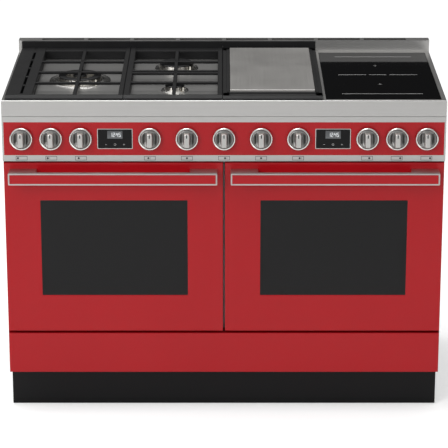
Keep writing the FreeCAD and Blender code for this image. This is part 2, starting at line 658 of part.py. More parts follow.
def griddle_frame():
    """Cast frame that holds the griddle plate, stepped down towards the plate, with a riser behind."""
    left, right = "griddle_start + zone_gap / 2", "griddle_end - zone_gap / 2"
    near, far = "well_front + fit_gap", "well_rear - fit_gap"
    slab = block("griddle_slab", (left, right), (near, far),
                 ("well_floor", "hob_height + griddle_frame_rise"))
    seat_x = (f"{left} + griddle_border - fit_gap", f"{right} - griddle_border + fit_gap")
    seat_y = ("front + griddle_front_border - fit_gap", f"{far} - griddle_rear_border + fit_gap")
    seat = block("griddle_seat", seat_x, seat_y, ("plate_low", "hob_height + griddle_frame_rise + 1"))
    window = block("griddle_opening", (f"{seat_x[0]} + griddle_seat", f"{seat_x[1]} - griddle_seat"),
                   (f"{seat_y[0]} + griddle_seat", f"{seat_y[1]} - griddle_seat"),
                   ("well_floor - 1", "plate_low + 1"))
    step = block("griddle_step", (left, right), (near, "front + griddle_front_border / 2"),
                 ("hob_height + griddle_step_rise", "hob_height + griddle_frame_rise + 1"))
    riser = block("griddle_riser", (left, right), (f"{far} - riser_thickness", far),
                  ("well_floor", "riser_top"))
    frame = cut("griddle_border_casting", slab, [seat, window, step])
    return fuse("griddle_frame", [frame, riser])


def griddle_plate():
    """Thick steel cooking plate that drops into the frame's seat."""
    left, right = "griddle_start + zone_gap / 2 + griddle_border", "griddle_end - zone_gap / 2 - griddle_border"
    near, far = "front + griddle_front_border", "well_rear - fit_gap - griddle_rear_border"
    body = new_body("griddle_plate", z="plate_low")
    slab = pad(body, rectangle(body, "XY_Plane", "griddle_plate_outline", (left, right), (near, far)),
               "griddle_plate_thickness")
    top = value("griddle_plate_thickness")
    round_edges(body, slab, "griddle_edge", lambda middle: abs(middle.z - top) < TOUCHES)
    return body


def induction_glass():
    body = new_body("induction_glass", z="glass_low")
    slab = pad(body, rectangle(body, "XY_Plane", "glass_outline", ("glass_start", "glass_end"),
                               ("front + glass_front", "front + glass_front + glass_length")),
               "glass_thickness")
    top = value("glass_thickness")
    round_edges(body, slab, "glass_edge", lambda middle: abs(middle.z - top) < TOUCHES)
    return body


def induction_coils():
    """Two flat coils on a carrier plate, pressed up under the glass."""
    centre_x = "(glass_start + glass_end) / 2"
    low = "glass_low - 0.5 - coil_height"
    parts = [block("coil_carrier", ("glass_start + glass_ledge + 2", "glass_end - glass_ledge - 2"),
                   ("front + glass_front + glass_ledge + 2",
                    "front + glass_front + glass_length - glass_ledge - 2"),
                   (f"{low} - 3", low))]
    for end in ("front", "rear"):
        spot = (centre_x, f"front + {end}_coil_depth", low)
        parts.append(cut(f"coil_{end}", rod(f"coil_disc_{end}", "z", spot, f"{end}_coil_radius",
                                            "coil_height"),
                         [rod(f"coil_hole_{end}", "z", spot, "coil_hole", "coil_height + 1")]))
    return group("induction_coils", parts)


def heating_elements():
    """Sheathed rods: a serpentine under the griddle plate and a U-shaped grill in the roof of each oven."""
    level = "plate_low - element_radius - element_gap"
    middle = "(griddle_start + griddle_end) / 2"
    near = "front + 2 * griddle_front_border + element_margin"
    far = "front + hob_depth - 2 * griddle_front_border - element_margin"
    outermost = (ELEMENT_RUNS - 1) / 2
    corners = [(f"{middle} - {outermost} * element_pitch", far, f"{level} - element_tail"),
               (f"{middle} - {outermost} * element_pitch", far, level)]
    for step in range(ELEMENT_RUNS):
        x = f"{middle} + ({step} - {outermost}) * element_pitch"
        ends = (far, near) if step % 2 == 0 else (near, far)
        if step:
            corners.append((x, ends[0], level))
        corners.append((x, ends[1], level))
    corners.append((f"{middle} + {outermost} * element_pitch", far, f"{level} - element_tail"))
    parts = [bent_tube("griddle_element", corners, "element_radius", "element_radius * 3")]
    for side, sign in (("left", -1), ("right", 1)):
        level = "cavity_top - grill_drop"
        tail = "cavity_rear + grill_tail"
        xs = [f"{sign} * oven_x - grill_half", f"{sign} * oven_x + grill_half"]
        run = [(xs[0], tail, level), (xs[0], "flange + grill_front", level),
               (xs[1], "flange + grill_front", level),
               (xs[1], tail, level)]
        parts.append(bent_tube(f"grill_{side}", run, "grill_radius", "grill_bend"))
    return group("heating_elements", parts)


# ---------------------------------------------------------------- control panel

KNOBS = [("burner_left", "-knob_side_middle - knob_side_pitch"), ("burner_rear", "-knob_side_middle"),
         ("burner_front", "-knob_side_middle + knob_side_pitch"),
         ("left_oven_mode", "-2 * knob_centre_pitch"),
         ("left_oven_heat", "-knob_centre_pitch"), ("griddle_front", "0"),
         ("right_oven_heat", "knob_centre_pitch"),
         ("right_oven_mode", "2 * knob_centre_pitch"), ("griddle_rear", "knob_side_middle - knob_side_pitch"),
         ("induction_rear", "knob_side_middle"), ("induction_front", "knob_side_middle + knob_side_pitch")]
GAS = ("burner_left", "burner_rear", "burner_front")
DISPLAYS = (("left", "-display_offset"), ("right", "display_offset"))


def display_rect(x, grow):
    """The X and Z extent of a clock window, made larger by a gap on each side."""
    middle = "knob_z - knob_height + display_above + display_height / 2"
    return ((f"{x} - display_width / 2 - {grow}", f"{x} + display_width / 2 + {grow}"),
            (f"{middle} - display_height / 2 - {grow}", f"{middle} + display_height / 2 + {grow}"))


def panel_carrier():
    """Steel channel behind the enamelled panel: it shows as the strip above and the strip below it."""
    wall = "front + panel_thickness + steel_sheet"
    outer = block("carrier_outer", ("-half", "half"), ("front", "front + carrier_depth"),
                  ("carrier_bottom", "strip_top"))
    tools = [block("carrier_hollow", ("-inner_half", "inner_half"), (wall, "front + carrier_depth + 1"),
                   ("carrier_bottom + steel_sheet", "strip_top - steel_sheet")),
             block("carrier_recess", ("-half + panel_margin", "half - panel_margin"),
                   ("front - 1", "front + panel_thickness"),
                   ("panel_bottom", "panel_top"))]
    for name, x in KNOBS:
        tools.append(rod(f"carrier_hole_{name}", "y", (x, "front - 1", "knob_z"), "stem_hole",
                         "carrier_depth / 2"))
    for side, x in DISPLAYS:
        wide, high = display_rect(x, "fit_gap")
        tools.append(block(f"carrier_window_{side}", wide, ("front - 1", "front + carrier_depth / 2"), high))
    channel = cut("carrier_channel", outer, tools)
    high = ("carrier_bottom + 3 * steel_sheet", "strip_top - 3 * steel_sheet")
    ears = [block(f"carrier_ear_{side}", x, ("front + carrier_depth - 2",
                                             "front + 2 * carrier_depth - fit_gap"), high)
            for side, x in (("left", ("-inner_half", "-inner_half + steel_sheet")),
                            ("right", ("inner_half - steel_sheet", "inner_half")))]
    return fuse("panel_carrier", [channel, *ears])


def control_panel():
    """Enamelled front panel, flush in the carrier, drilled for the spindles and cut for the clocks."""
    body = new_body("control_panel", y="front + panel_thickness")
    edge = "panel_margin + fit_gap / 2"
    pad(body, rectangle(body, "XZ_Plane", "panel_outline", (f"-half + {edge}", f"half - ({edge})"),
                        ("panel_bottom + fit_gap / 2", "panel_top - fit_gap / 2")), "panel_thickness")
    pocket(body, circles(body, "XZ_Plane", "panel_holes", [(x, "knob_z", "stem_hole") for _, x in KNOBS]),
           "panel_thickness + 1", reverse=True)
    for side, x in DISPLAYS:
        wide, high = display_rect(x, "fit_gap")
        pocket(body, rectangle(body, "XZ_Plane", f"panel_window_{side}", wide, high), "panel_thickness + 1",
               reverse=True)
    return body


def displays():
    """Two clocks: a glass in the panel and the module behind it."""
    clocks = []
    for side, x in DISPLAYS:
        wide, high = display_rect(x, "0")
        module_x, module_z = display_rect(x, "(-module_margin)")
        wall = "front + panel_thickness + steel_sheet"
        clocks.append(fuse(f"display_{side}", [
            block(f"display_glass_{side}", wide, ("front - 1", wall), high),
            block(f"display_module_{side}", module_x, (wall, f"{wall} + display_module_depth"), module_z)]))
    return group("displays", clocks)


def knob(name, x):
    """Turned knob with a ring, a raised disc and a grip bar; an electric one has its stem in one piece."""
    gas = name in GAS
    body = new_body(f"knob_{name}", x, "front", "knob_z")
    back, ring_front = "-knob_standoff", "-knob_standoff - knob_skirt"
    disc_radius = "knob_radius - knob_ring - 0.5"
    disc_front = f"{ring_front} - knob_disc_rise"
    stem = [(back, "0")] if gas else [("stem_reach", "0"), ("stem_reach", "stem_radius"),
                                      (back, "stem_radius")]
    section = outline(body, "YZ_Plane", f"knob_section_{name}", stem + [
        (back, "knob_radius - 1"), (f"{back} - 1", "knob_radius"),
        (f"{ring_front} + ring_round", "knob_radius"),
        (ring_front, "knob_radius - ring_round"), (ring_front, "knob_radius - knob_ring + ring_lip"),
        (f"{ring_front} + 2", "knob_radius - knob_ring"), (f"{ring_front} + 2", disc_radius),
        (f"{disc_front} + 1", disc_radius), (disc_front, f"{disc_radius} - 1"), (disc_front, "0")])
    turned(body, section, "H_Axis")
    wide, tall = "grip_width / 2", "grip_length / 2"
    in_wide, in_tall = f"({wide} - grip_corner)", f"({tall} - grip_corner)"
    corners = [(f"-{wide}", f"-{in_tall}"), (f"-{in_wide}", f"-{tall}"), (in_wide, f"-{tall}"),
               (wide, f"-{in_tall}"),
               (wide, in_tall), (in_wide, tall), (f"-{in_wide}", tall), (f"-{wide}", in_tall)]
    grip = outline(body, "XZ_Plane", f"grip_{name}", corners, f"-({disc_front}) - 1")
    grip_pad = pad(body, grip, f"knob_reach + {disc_front} + 1")
    tip = -value("knob_reach")
    round_edges(body, grip_pad, "grip_edge", lambda middle: abs(middle.y - tip) < TOUCHES)
    if gas:
        bore = "stem_radius + running_fit"
        deep = "-knob_standoff - stem_reach"
        socket = outline(body, "YZ_Plane", f"knob_socket_{name}",
                         [(f"{back} + 1", "0"), (f"{back} + 1", bore),
                                                                  (deep, bore), (deep, "0")])
        turned(body, socket, "H_Axis", "Groove")
    return body


def gas_spindle(name, x):
    """Tap spindle: it turns in the tap and the knob slides on it when pressed."""
    start = "front - knob_standoff - stem_reach + push_travel + 0.5"
    return rod(f"spindle_{name}", "y", (x, start, "knob_z"), "stem_radius", f"front + stem_reach - ({start})")


def gas_manifold():
    """Gas rail with three taps, a feed pipe to the rear inlet and a tube to each burner."""
    wall = "front + panel_thickness + steel_sheet"
    tap_rear = f"{wall} + tap_depth"
    parts = []
    rail_y = f"{tap_rear} + rail_radius"
    rail = rod("gas_rail", "x", ("-inlet_x - rail_overrun", rail_y, "knob_z"), "rail_radius",
               "inlet_x - knob_side_middle + knob_side_pitch + 2 * rail_overrun")
    feed = rod("gas_feed", "y", ("-inlet_x", rail_y, "knob_z"), "feed_radius",
               f"rear - inlet_length - ({rail_y})")
    inlet = rod("gas_inlet", "y", ("-inlet_x", "rear - inlet_length", "knob_z"), "inlet_radius",
                "inlet_length")
    parts.append(fuse("gas_pipework", [rail, feed, inlet]))
    for (name, x), (_, burner_x, depth) in zip(KNOBS, BURNERS):
        body = block(f"tap_body_{name}", (f"{x} - tap_width / 2", f"{x} + tap_width / 2"), (wall, tap_rear),
                     ("knob_z - tap_height / 2", "knob_z + tap_height / 2"))
        parts.append(cut(f"tap_{name}", body, [rod(f"tap_bore_{name}", "y", (x, "front", "knob_z"),
                                                   "stem_radius + running_fit", "stem_reach + 1")]))
        high = "knob_z + tap_height / 2 - 2 * tube_radius"
        low_end = "well_floor - burner_drop"
        parts.append(bent_tube(f"burner_tube_{name}", [
            (x, tap_rear, high), (x, f"{tap_rear} + tube_run", high),
            (burner_x, f"front + {depth}", f"{low_end} - tube_drop"),
            (burner_x, f"front + {depth}", low_end)],
            "tube_radius", "tube_bend"))
    return group("gas_manifold", parts)


def control_switches():
    """Rotary switches behind the panel, one for each electric knob."""
    wall = "front + panel_thickness + steel_sheet"
    parts = []
    for name, x in KNOBS:
        if name in GAS:
            continue
        body = block(f"switch_body_{name}", (f"{x} - switch_size / 2", f"{x} + switch_size / 2"),
                     (wall, f"{wall} + switch_depth"),
                     ("knob_z - switch_size / 2", "knob_z + switch_size / 2"))
        parts.append(cut(f"switch_{name}", body, [rod(f"switch_bore_{name}", "y", (x, "front", "knob_z"),
                                                      "stem_radius + running_fit", "stem_reach + 1")]))
    return group("control_switches", parts)


# ---------------------------------------------------------------- ovens

def oven_liner(side, sign):
    """Oven cavity of welded sheet with a front flange behind the door, and two hinge tabs on the flange."""
    centre = f"{sign} * oven_x"
    inner = (f"{centre} - cavity_width / 2", f"{centre} + cavity_width / 2")
    outer = (f"{inner[0]} - steel_sheet", f"{inner[1]} + steel_sheet")
    low, high = ("cavity_bottom - steel_sheet", "cavity_bottom"), ("cavity_top", "cavity_top + steel_sheet")
    deep = ("flange + steel_sheet", "cavity_rear")
    sheets = [block(f"liner_floor_{side}", outer, deep, low), block(f"liner_roof_{side}", outer, deep, high),
              block(f"liner_wall_{side}_a", (outer[0], inner[0]), deep, (low[1], high[0])),
              block(f"liner_wall_{side}_b", (inner[1], outer[1]), deep, (low[1], high[0]))]
    rear = block(f"liner_rear_{side}", outer, ("cavity_rear", "cavity_rear + steel_sheet"), (low[0], high[1]))
    holes = [rod(f"fan_hole_{side}", "y", (centre, "cavity_rear - 1", "cavity_middle"), "shaft_hole",
                 "4 * steel_sheet")]
    for end, hand in (("a", "-1"), ("b", "1")):
        holes.append(rod(f"grill_hole_{side}_{end}", "y",
                         (f"{centre} + {hand} * grill_half", "cavity_rear - 1", "cavity_top - grill_drop"),
                         "grill_radius + running_fit", "4 * steel_sheet"))
    sheets.append(cut(f"drilled_rear_{side}", rear, holes))
    edge = sorted((f"{sign} * (inner_half - fit_gap)", f"{sign} * (partition_thickness / 2 + fit_gap)"),
                  key=value)
    plate = ("flange", "flange + steel_sheet")
    sheets += [block(f"flange_top_{side}", edge, plate, ("cavity_top", "door_top + 2")),
               block(f"flange_side_{side}_a", (edge[0], inner[0]), plate, ("cavity_bottom", "cavity_top")),
               block(f"flange_side_{side}_b", (inner[1], edge[1]), plate, ("cavity_bottom", "cavity_top"))]
    sill = [block(f"flange_sill_{side}", edge, plate, ("deck + steel_sheet + fit_gap", "cavity_bottom"))]
    bores = []
    for end, x in hinge_places(sign):
        sill.append(block(f"hinge_tab_{side}_{end}", (f"{x} - hinge_tab / 2", f"{x} + hinge_tab / 2"),
                          ("hinge_y", "flange + steel_sheet"),
                          ("hinge_z - hinge_knuckle", "hinge_z + hinge_knuckle")))
        sill.append(rod(f"hinge_eye_{side}_{end}", "x", (f"{x} - hinge_tab / 2", "hinge_y", "hinge_z"),
                        "hinge_knuckle", "hinge_tab"))
        bores.append(rod(f"hinge_bore_{side}_{end}", "x", (f"{x} - hinge_tab", "hinge_y", "hinge_z"),
                         "pin_radius + running_fit", "2 * hinge_tab"))
    sheets.append(cut(f"bored_sill_{side}", fuse(f"sill_with_tabs_{side}", sill), bores))
    return group(f"oven_liner_{side}", sheets)


def hinge_places(sign):
    """The two hinges of a door: a name and X."""
    yield "a", f"{sign} * oven_x - door_width / 2 + hinge_inset"
    yield "b", f"{sign} * oven_x + door_width / 2 - hinge_inset"


def oven_seals():
    """Door gaskets on the flanges round the cavity mouths."""
    seals = []
    for side, sign in SIDES:
        centre = f"{sign} * oven_x"
        near = ("flange - door_clearance + seal_gap", "flange")
        rings = []
        for grow in ("seal_offset + seal_width", "seal_offset"):
            rings.append(block(f"seal_ring_{side}_{len(rings)}",
                               (f"{centre} - cavity_width / 2 - ({grow})",
                                f"{centre} + cavity_width / 2 + ({grow})"),
                               near if not rings else ("flange - 2 * door_clearance", "flange + 1"),
                               (f"cavity_bottom - ({grow})", f"cavity_top + ({grow})")))
        seals.append(cut(f"seal_{side}", rings[0], [rings[1]]))
    return group("oven_seals", seals)


def shelf_runners():
    """Wire ladders on the cavity walls: two uprights with five steps each."""
    ladders = []
    for side, sign in SIDES:
        for wall in (-1, 1):
            tag = f"{side}_{'a' if wall < 0 else 'b'}"
            upright_x = f"{sign} * oven_x + {wall} * (ladder_x)"
            step_x = f"{sign} * oven_x + {wall} * (step_x)"
            wires = []
            for end, y in (("near", "flange + ladder_front + upright_inset"),
                           ("far", "cavity_rear - ladder_rear - upright_inset")):
                wires.append(rod(f"upright_{tag}_{end}", "z", (upright_x, y, "cavity_bottom + fit_gap"),
                                 "ladder_radius", "cavity_height - 2 * fit_gap"))
            for step in range(LADDER_STEPS):
                wires.append(rod(f"step_{tag}_{step}", "y",
                                 (step_x, "flange + ladder_front",
                                  f"cavity_bottom + ladder_first + {step} * ladder_pitch"),
                                 "ladder_radius", "cavity_depth - ladder_front - ladder_rear"))
            ladders.append(fuse(f"ladder_{tag}", wires))
    return group("shelf_runners", ladders)


def oven_shelves():
    """Wire shelves: a frame of thick wire with thin rods across it, each on its own step of the ladders."""
    shelves = []
    for side, sign in SIDES:
        step = OVEN_SHELF_STEP[side]
        level = f"cavity_bottom + ladder_first + {step} * ladder_pitch + ladder_radius + shelf_wire"
        level += " + fit_gap / 2"
        near = "flange + ladder_front + shelf_inset"
        run = "cavity_depth - ladder_front - ladder_rear - 2 * shelf_inset"
        centre = f"{sign} * oven_x"
        wires = []
        for end in (-1, 1):
            wires.append(rod(f"shelf_side_{side}_{'a' if end < 0 else 'b'}", "y",
                             (f"{centre} + {end} * (shelf_x)", near, level), "shelf_wire", run))
        for end, y in (("near", f"{near} + shelf_wire"), ("far", f"{near} + {run} - shelf_wire")):
            wires.append(rod(f"shelf_end_{side}_{end}", "x", (f"{centre} - (shelf_x)", y, level),
                             "shelf_wire",
                             "2 * (shelf_x)"))
        for count in range(-SHELF_RODS_EACH_WAY, SHELF_RODS_EACH_WAY + 1):
            wires.append(rod(f"shelf_rod_{side}_{count + SHELF_RODS_EACH_WAY}", "y",
                             (f"{centre} + {count} * shelf_rod_pitch", f"{near} + 1", level), "shelf_rod",
                             f"{run} - 2"))
        shelves.append(fuse(f"shelf_{side}", wires))
    return group("oven_shelves", shelves)


def fan_covers():
    """For each oven a vented cover in the cavity and the fan's motor behind the rear wall."""
    parts = []
    for side, sign in SIDES:
        centre = f"{sign} * oven_x"
        plate = block(f"cover_outer_{side}", (f"{centre} - fan_cover / 2", f"{centre} + fan_cover / 2"),
                      ("cavity_rear - fan_cover_depth", "cavity_rear"),
                      ("cavity_middle - fan_cover / 2", "cavity_middle + fan_cover / 2"))
        tools = [block(f"cover_hollow_{side}", (f"{centre} - fan_cover / 2 + steel_sheet",
                                                f"{centre} + fan_cover / 2 - steel_sheet"),
                       ("cavity_rear - fan_cover_depth + steel_sheet", "cavity_rear + 1"),
                       ("cavity_middle - fan_cover / 2 + steel_sheet",
                        "cavity_middle + fan_cover / 2 - steel_sheet"))]
        for step in range(-COVER_SLOTS_EACH_WAY, COVER_SLOTS_EACH_WAY + 1):
            reach = math.sqrt(value("vent_radius") ** 2 - value(f"{step} * vent_pitch") ** 2)
            level = f"cavity_middle + {step} * vent_pitch"
            tools.append(block(f"cover_slot_{side}_{step + COVER_SLOTS_EACH_WAY}",
                               (f"{centre} - {reach:.1f}", f"{centre} + {reach:.1f}"),
                               ("cavity_rear - 2 * fan_cover_depth", "cavity_rear - fan_cover_depth / 2"),
                               (f"{level} - vent_slot / 2", f"{level} + vent_slot / 2")))
        parts.append(cut(f"fan_cover_{side}", plate, tools))
        spot = (centre, "cavity_rear + steel_sheet", "cavity_middle")
        parts.append(cut(f"fan_motor_{side}", rod(f"motor_can_{side}", "y", spot, "motor_radius",
                                                  "motor_depth"),
                         [rod(f"motor_bore_{side}", "y", spot, "shaft_radius + running_fit",
                              "motor_depth / 2 + 0.5")]))
    return group("fan_covers", parts)


def oven_fan(side, sign):
    """Convection fan: a disc with eight radial blades on the motor's shaft."""
    centre = f"{sign} * oven_x"
    near = "cavity_rear - fan_cover_depth + fan_gap"
    parts = [rod(f"fan_disc_{side}", "y", (centre, f"{near} + fan_depth - steel_sheet", "cavity_middle"),
                 "fan_radius", "steel_sheet"),
             rod(f"fan_hub_{side}", "y", (centre, near, "cavity_middle"), "shaft_radius + hub_wall",
                 "fan_depth"),
             rod(f"fan_shaft_{side}", "y", (centre, near, "cavity_middle"), "shaft_radius",
                 f"cavity_rear + steel_sheet + motor_depth / 2 - ({near})")]
    for count in range(FAN_BLADES):
        blade = doc.addObject("Part::Box", f"fan_blade_{side}_{count}")
        bind(blade, "Length", "fan_radius - blade_start - 2")
        bind(blade, "Width", "fan_depth - 1")
        bind(blade, "Height", "blade_sheet")
        turn = FreeCAD.Rotation(FreeCAD.Vector(0, 1, 0), 360 / FAN_BLADES * count)
        blade.Placement = FreeCAD.Placement(FreeCAD.Vector(), turn)
        out = turn.multVec(FreeCAD.Vector(1, 0, 0))
        bind(blade, "Placement.Base.x", f"{centre} + blade_start * {out.x:.6f}")
        bind(blade, "Placement.Base.y", near)
        bind(blade, "Placement.Base.z", f"cavity_middle + blade_start * {out.z:.6f}")
        parts.append(blade)
    return fuse(f"oven_fan_{side}", parts)


# ---------------------------------------------------------------- doors


def door_panel(side, sign):
    """Enamelled steel tray with a window and slots in its lower edge for the hinge tabs."""
    body = new_body(f"door_panel_{side}", f"{sign} * oven_x", "front + tray_depth", "door_bottom")
    wide = ("-door_width / 2", "door_width / 2")
    slab = pad(body, rectangle(body, "XZ_Plane", f"door_outline_{side}", wide, ("0", "door_height")),
               "tray_depth")
    face = -value("tray_depth")
    round_edges(body, slab, "door_radius", lambda middle: abs(middle.y - face) < TOUCHES)
    pocket(body, rectangle(body, "XZ_Plane", f"door_hollow_{side}",
                           ("-door_width / 2 + tray_wall", "door_width / 2 - tray_wall"),
                           ("tray_wall", "door_height - tray_wall")),
           "tray_depth - steel_sheet", reverse=True)
    top = "door_height - window_above"
    pocket(body, rectangle(body, "XZ_Plane", f"door_window_cut_{side}",
                           ("-window_width / 2", "window_width / 2"),
                           (f"{top} - window_height", top)), "tray_depth + 1", reverse=True)
    reach = "hinge_tab / 2 + ear_thickness + 2"
    for end, offset in (("a", "-door_width / 2 + hinge_inset"), ("b", "door_width / 2 - hinge_inset")):
        pocket(body, rectangle(body, "XZ_Plane", f"door_notch_{side}_{end}",
                               (f"{offset} - ({reach})", f"{offset} + {reach}"),
                               ("-1", "steel_sheet + 1")), "tray_depth - steel_sheet", reverse=True)
    return body


def door_window(side, sign):
    """Tinted outer glass, bonded behind the tray's face and stepped to lie almost flush with it."""
    centre = f"{sign} * oven_x"
    low = "window_top - window_height"
    face = block(f"window_face_{side}", (f"{centre} - window_width / 2 + fit_gap",
                                         f"{centre} + window_width / 2 - fit_gap"),
                 ("front + 0.5", "front + steel_sheet + 1"), (f"{low} + fit_gap", "window_top - fit_gap"))
    back = block(f"window_back_{side}", (f"{centre} - window_width / 2 - window_lap",
                                         f"{centre} + window_width / 2 + window_lap"),
                 ("front + steel_sheet", "front + steel_sheet + window_glass"),
                 (f"{low} - window_lap", "window_top + window_lap"))
    return fuse(f"door_window_{side}", [face, back])


def ring_of_plates(name, outer, inner, depth):
    """Four plates round a rectangular hole: a full-width one below and above, and one at each side."""
    (x0, x1), (z0, z1) = outer
    (hole_x0, hole_x1), (hole_z0, hole_z1) = inner
    return [block(f"{name}_low", (x0, x1), depth, (z0, hole_z0)),
            block(f"{name}_high", (x0, x1), depth, (hole_z1, z1)),
            block(f"{name}_a", (x0, hole_x0), depth, (hole_z0, hole_z1)),
            block(f"{name}_b", (hole_x1, x1), depth, (hole_z0, hole_z1))]


def door_inner(side, sign):
    """Inner half of the door: a welded steel frame behind the tray and a full-size inner glass on it."""
    middle, low = f"{sign} * oven_x", "window_top - window_height"
    wide = (f"{middle} - door_width / 2 + inner_margin_side",
            f"{middle} + door_width / 2 - inner_margin_side")
    high = ("door_bottom + inner_margin_low", "door_top - inner_margin_top")
    lip_wide = (f"{middle} - door_width / 2 + 1", f"{middle} + door_width / 2 - 1")
    window = ((f"{middle} - window_width / 2", f"{middle} + window_width / 2"), (low, "window_top"))
    tray_back, seam = "front + tray_depth", "front + tray_depth + inner_frame_depth"
    lip_back = f"{tray_back} + steel_sheet"
    inside = ((f"{wide[0]} + steel_sheet", f"{wide[1]} - steel_sheet"),
              (f"{high[0]} + steel_sheet", f"{high[1]} - steel_sheet"))
    duct = ((f"{window[0][0]} - steel_sheet", f"{window[0][1]} + steel_sheet"),
            (f"{low} - steel_sheet", "window_top + steel_sheet"))
    plates = ring_of_plates(f"inner_lip_{side}", (lip_wide, high), window, (tray_back, lip_back))
    plates += ring_of_plates(f"inner_wall_{side}", (wide, high), inside, (lip_back, seam))
    plates += ring_of_plates(f"inner_duct_{side}", duct, window, (lip_back, seam))
    glass = block(f"inner_glass_{side}", wide, (seam, f"{seam} + inner_glass"), high)
    return group(f"door_inner_{side}", [*plates, glass])


def door_handle(side, sign):
    """Steel bar on two end brackets, with a shallow pocket along its face for the coloured inlay."""
    ends = (f"{sign} * oven_x - door_width / 2 + handle_margin",
            f"{sign} * oven_x + door_width / 2 - handle_margin")
    high = ("handle_top - handle_height", "handle_top")
    face = "front - handle_reach"
    parts = [block(f"handle_bar_{side}", ends, (face, f"{face} + bar_depth"), high)]
    inset = "1"
    for end, x in (("a", (ends[0], f"{ends[0]} + bracket_width")),
                   ("b", (f"{ends[1]} - bracket_width", ends[1]))):
        parts.append(block(f"handle_bracket_{side}_{end}", x, (f"{face} + bar_depth - 1", "front"),
                           (f"{high[0]} + {inset}", f"{high[1]} - {inset}")))
    whole = fuse(f"handle_blank_{side}", parts)
    pocket_cut = block(f"handle_pocket_{side}", (f"{ends[0]} + inlay_border", f"{ends[1]} - inlay_border"),
                       (f"{face} - 1", f"{face} + inlay_depth"),
                       (f"{high[0]} + inlay_border", f"{high[1]} - inlay_border"))
    return cut(f"door_handle_{side}", whole, [pocket_cut])


def handle_inlay(side, sign):
    """Coloured strip that fills the pocket in the handle's face."""
    gap = "inlay_border + fit_gap"
    body = new_body(f"handle_inlay_{side}", f"{sign} * oven_x", "front - handle_reach + inlay_depth",
                    "handle_top")
    pad(body, rectangle(body, "XZ_Plane", f"inlay_outline_{side}",
                        (f"-door_width / 2 + handle_margin + {gap}",
                         f"door_width / 2 - handle_margin - ({gap})"),
                        (f"-handle_height + {gap}", f"-({gap})")), "inlay_depth - fit_gap")
    return body


def door_hinges(side, sign):
    """For each hinge two ears on the tray's face and the pin through them and the liner's tab."""
    hinges = []
    for end, x in hinge_places(sign):
        ears = []
        for hand in (-1, 1):
            inner = f"{x} + {hand} * (hinge_tab / 2 + running_fit)"
            outer = f"{x} + {hand} * (hinge_tab / 2 + running_fit + ear_thickness)"
            pair = (outer, inner) if hand < 0 else (inner, outer)
            ears.append(block(f"ear_{side}_{end}_{'a' if hand < 0 else 'b'}", pair,
                              ("front + steel_sheet", "hinge_y + pin_radius + 2"),
                              ("hinge_z - pin_radius - 2", "door_bottom + inner_margin_low - fit_gap")))
        pin = rod(f"pin_{side}_{end}", "x", (f"{x} - hinge_tab / 2 - running_fit - ear_thickness", "hinge_y",
                                             "hinge_z"),
                  "pin_radius", "hinge_tab + 2 * (running_fit + ear_thickness)")
        hinges.append(fuse(f"hinge_{side}_{end}", [*ears, pin]))
    return group(f"door_hinges_{side}", hinges)


# ---------------------------------------------------------------- drawer

def drawer_front():
    """Enamelled tray that hides the drawer, as wide as the machine."""
    body = new_body("drawer_front", y="front + tray_depth", z="drawer_bottom")
    wide = ("-half + side_gap", "half - side_gap")
    slab = pad(body, rectangle(body, "XZ_Plane", "drawer_outline", wide, ("0", "drawer_height")),
               "tray_depth")
    face = -value("tray_depth")
    round_edges(body, slab, "door_radius", lambda middle: abs(middle.y - face) < TOUCHES)
    pocket(body, rectangle(body, "XZ_Plane", "drawer_hollow",
                           ("-half + side_gap + tray_wall", "half - side_gap - tray_wall"),
                           ("tray_wall", "drawer_height - tray_wall")),
           "tray_depth - steel_sheet", reverse=True)
    return body


def drawer_box():
    """Welded steel tray with a front plate that closes the drawer front, and a runner along each side."""
    gap = "side_gap + tray_wall + fit_gap"
    plates = [block("drawer_plate", (f"-half + {gap}", f"half - ({gap})"),
                    ("front + tray_depth - steel_sheet", "front + tray_depth"),
                    ("drawer_bottom + tray_wall + fit_gap", "drawer_top - tray_wall - fit_gap"))]
    deep = ("front + tray_depth", "front + tray_depth + box_depth")
    inside = (f"{deep[0]} + steel_sheet", f"{deep[1]} - steel_sheet")
    high = ("box_bottom + steel_sheet", "box_bottom + box_height")
    plates += [block("box_floor", ("-box_half", "box_half"), deep, ("box_bottom", high[0])),
               block("box_front", ("-box_half", "box_half"), (deep[0], inside[0]), high),
               block("box_rear", ("-box_half", "box_half"), (inside[1], deep[1]), high)]
    for side, wall, runner in (("left", ("-box_half", "-box_half + steel_sheet"),
                                ("-box_half - runner_width", "-box_half")),
                               ("right", ("box_half - steel_sheet", "box_half"),
                                ("box_half", "box_half + runner_width"))):
        plates += [block(f"box_wall_{side}", wall, inside, high),
                   block(f"runner_{side}", runner, ("runner_start", deep[1]),
                         ("runner_low", "runner_low + runner_height"))]
    return group("drawer_box", plates)


nodes = [base_frame(), levelling_feet(), side_panels(), back_panel(), centre_partition(), plinth(),
         hob_top(), hob_upstand(), burner_bases(), burner_crowns(), burner_caps(), spark_electrodes(),
         pan_support("pan_support_left", ("zones_start", "middle_start"), ("grate_wide_band", "grate_bar"),
                     "left_burner_x", LEFT_FINGERS, 5),
         pan_support("pan_support_middle", ("middle_start", "griddle_start"), ("grate_bar + 3", "grate_bar"),
                     "middle_burner_x", MIDDLE_FINGERS, 0),
         griddle_frame(), griddle_plate(), heating_elements(), induction_glass(), induction_coils(),
         panel_carrier(), control_panel(), displays(), gas_manifold(), control_switches(),
         oven_seals(), shelf_runners(), oven_shelves(), fan_covers(), drawer_front(), drawer_box()]
for side, sign in SIDES:
    nodes += [oven_liner(side, sign), oven_fan(side, sign), door_panel(side, sign), door_window(side, sign),
              door_inner(side, sign), door_handle(side, sign), handle_inlay(side, sign),
              door_hinges(side, sign)]
nodes += [knob(name, x) for name, x in KNOBS]
nodes += [gas_spindle(name, x) for name, x in KNOBS if name in GAS]

# ---------------------------------------------------------------- checks and files

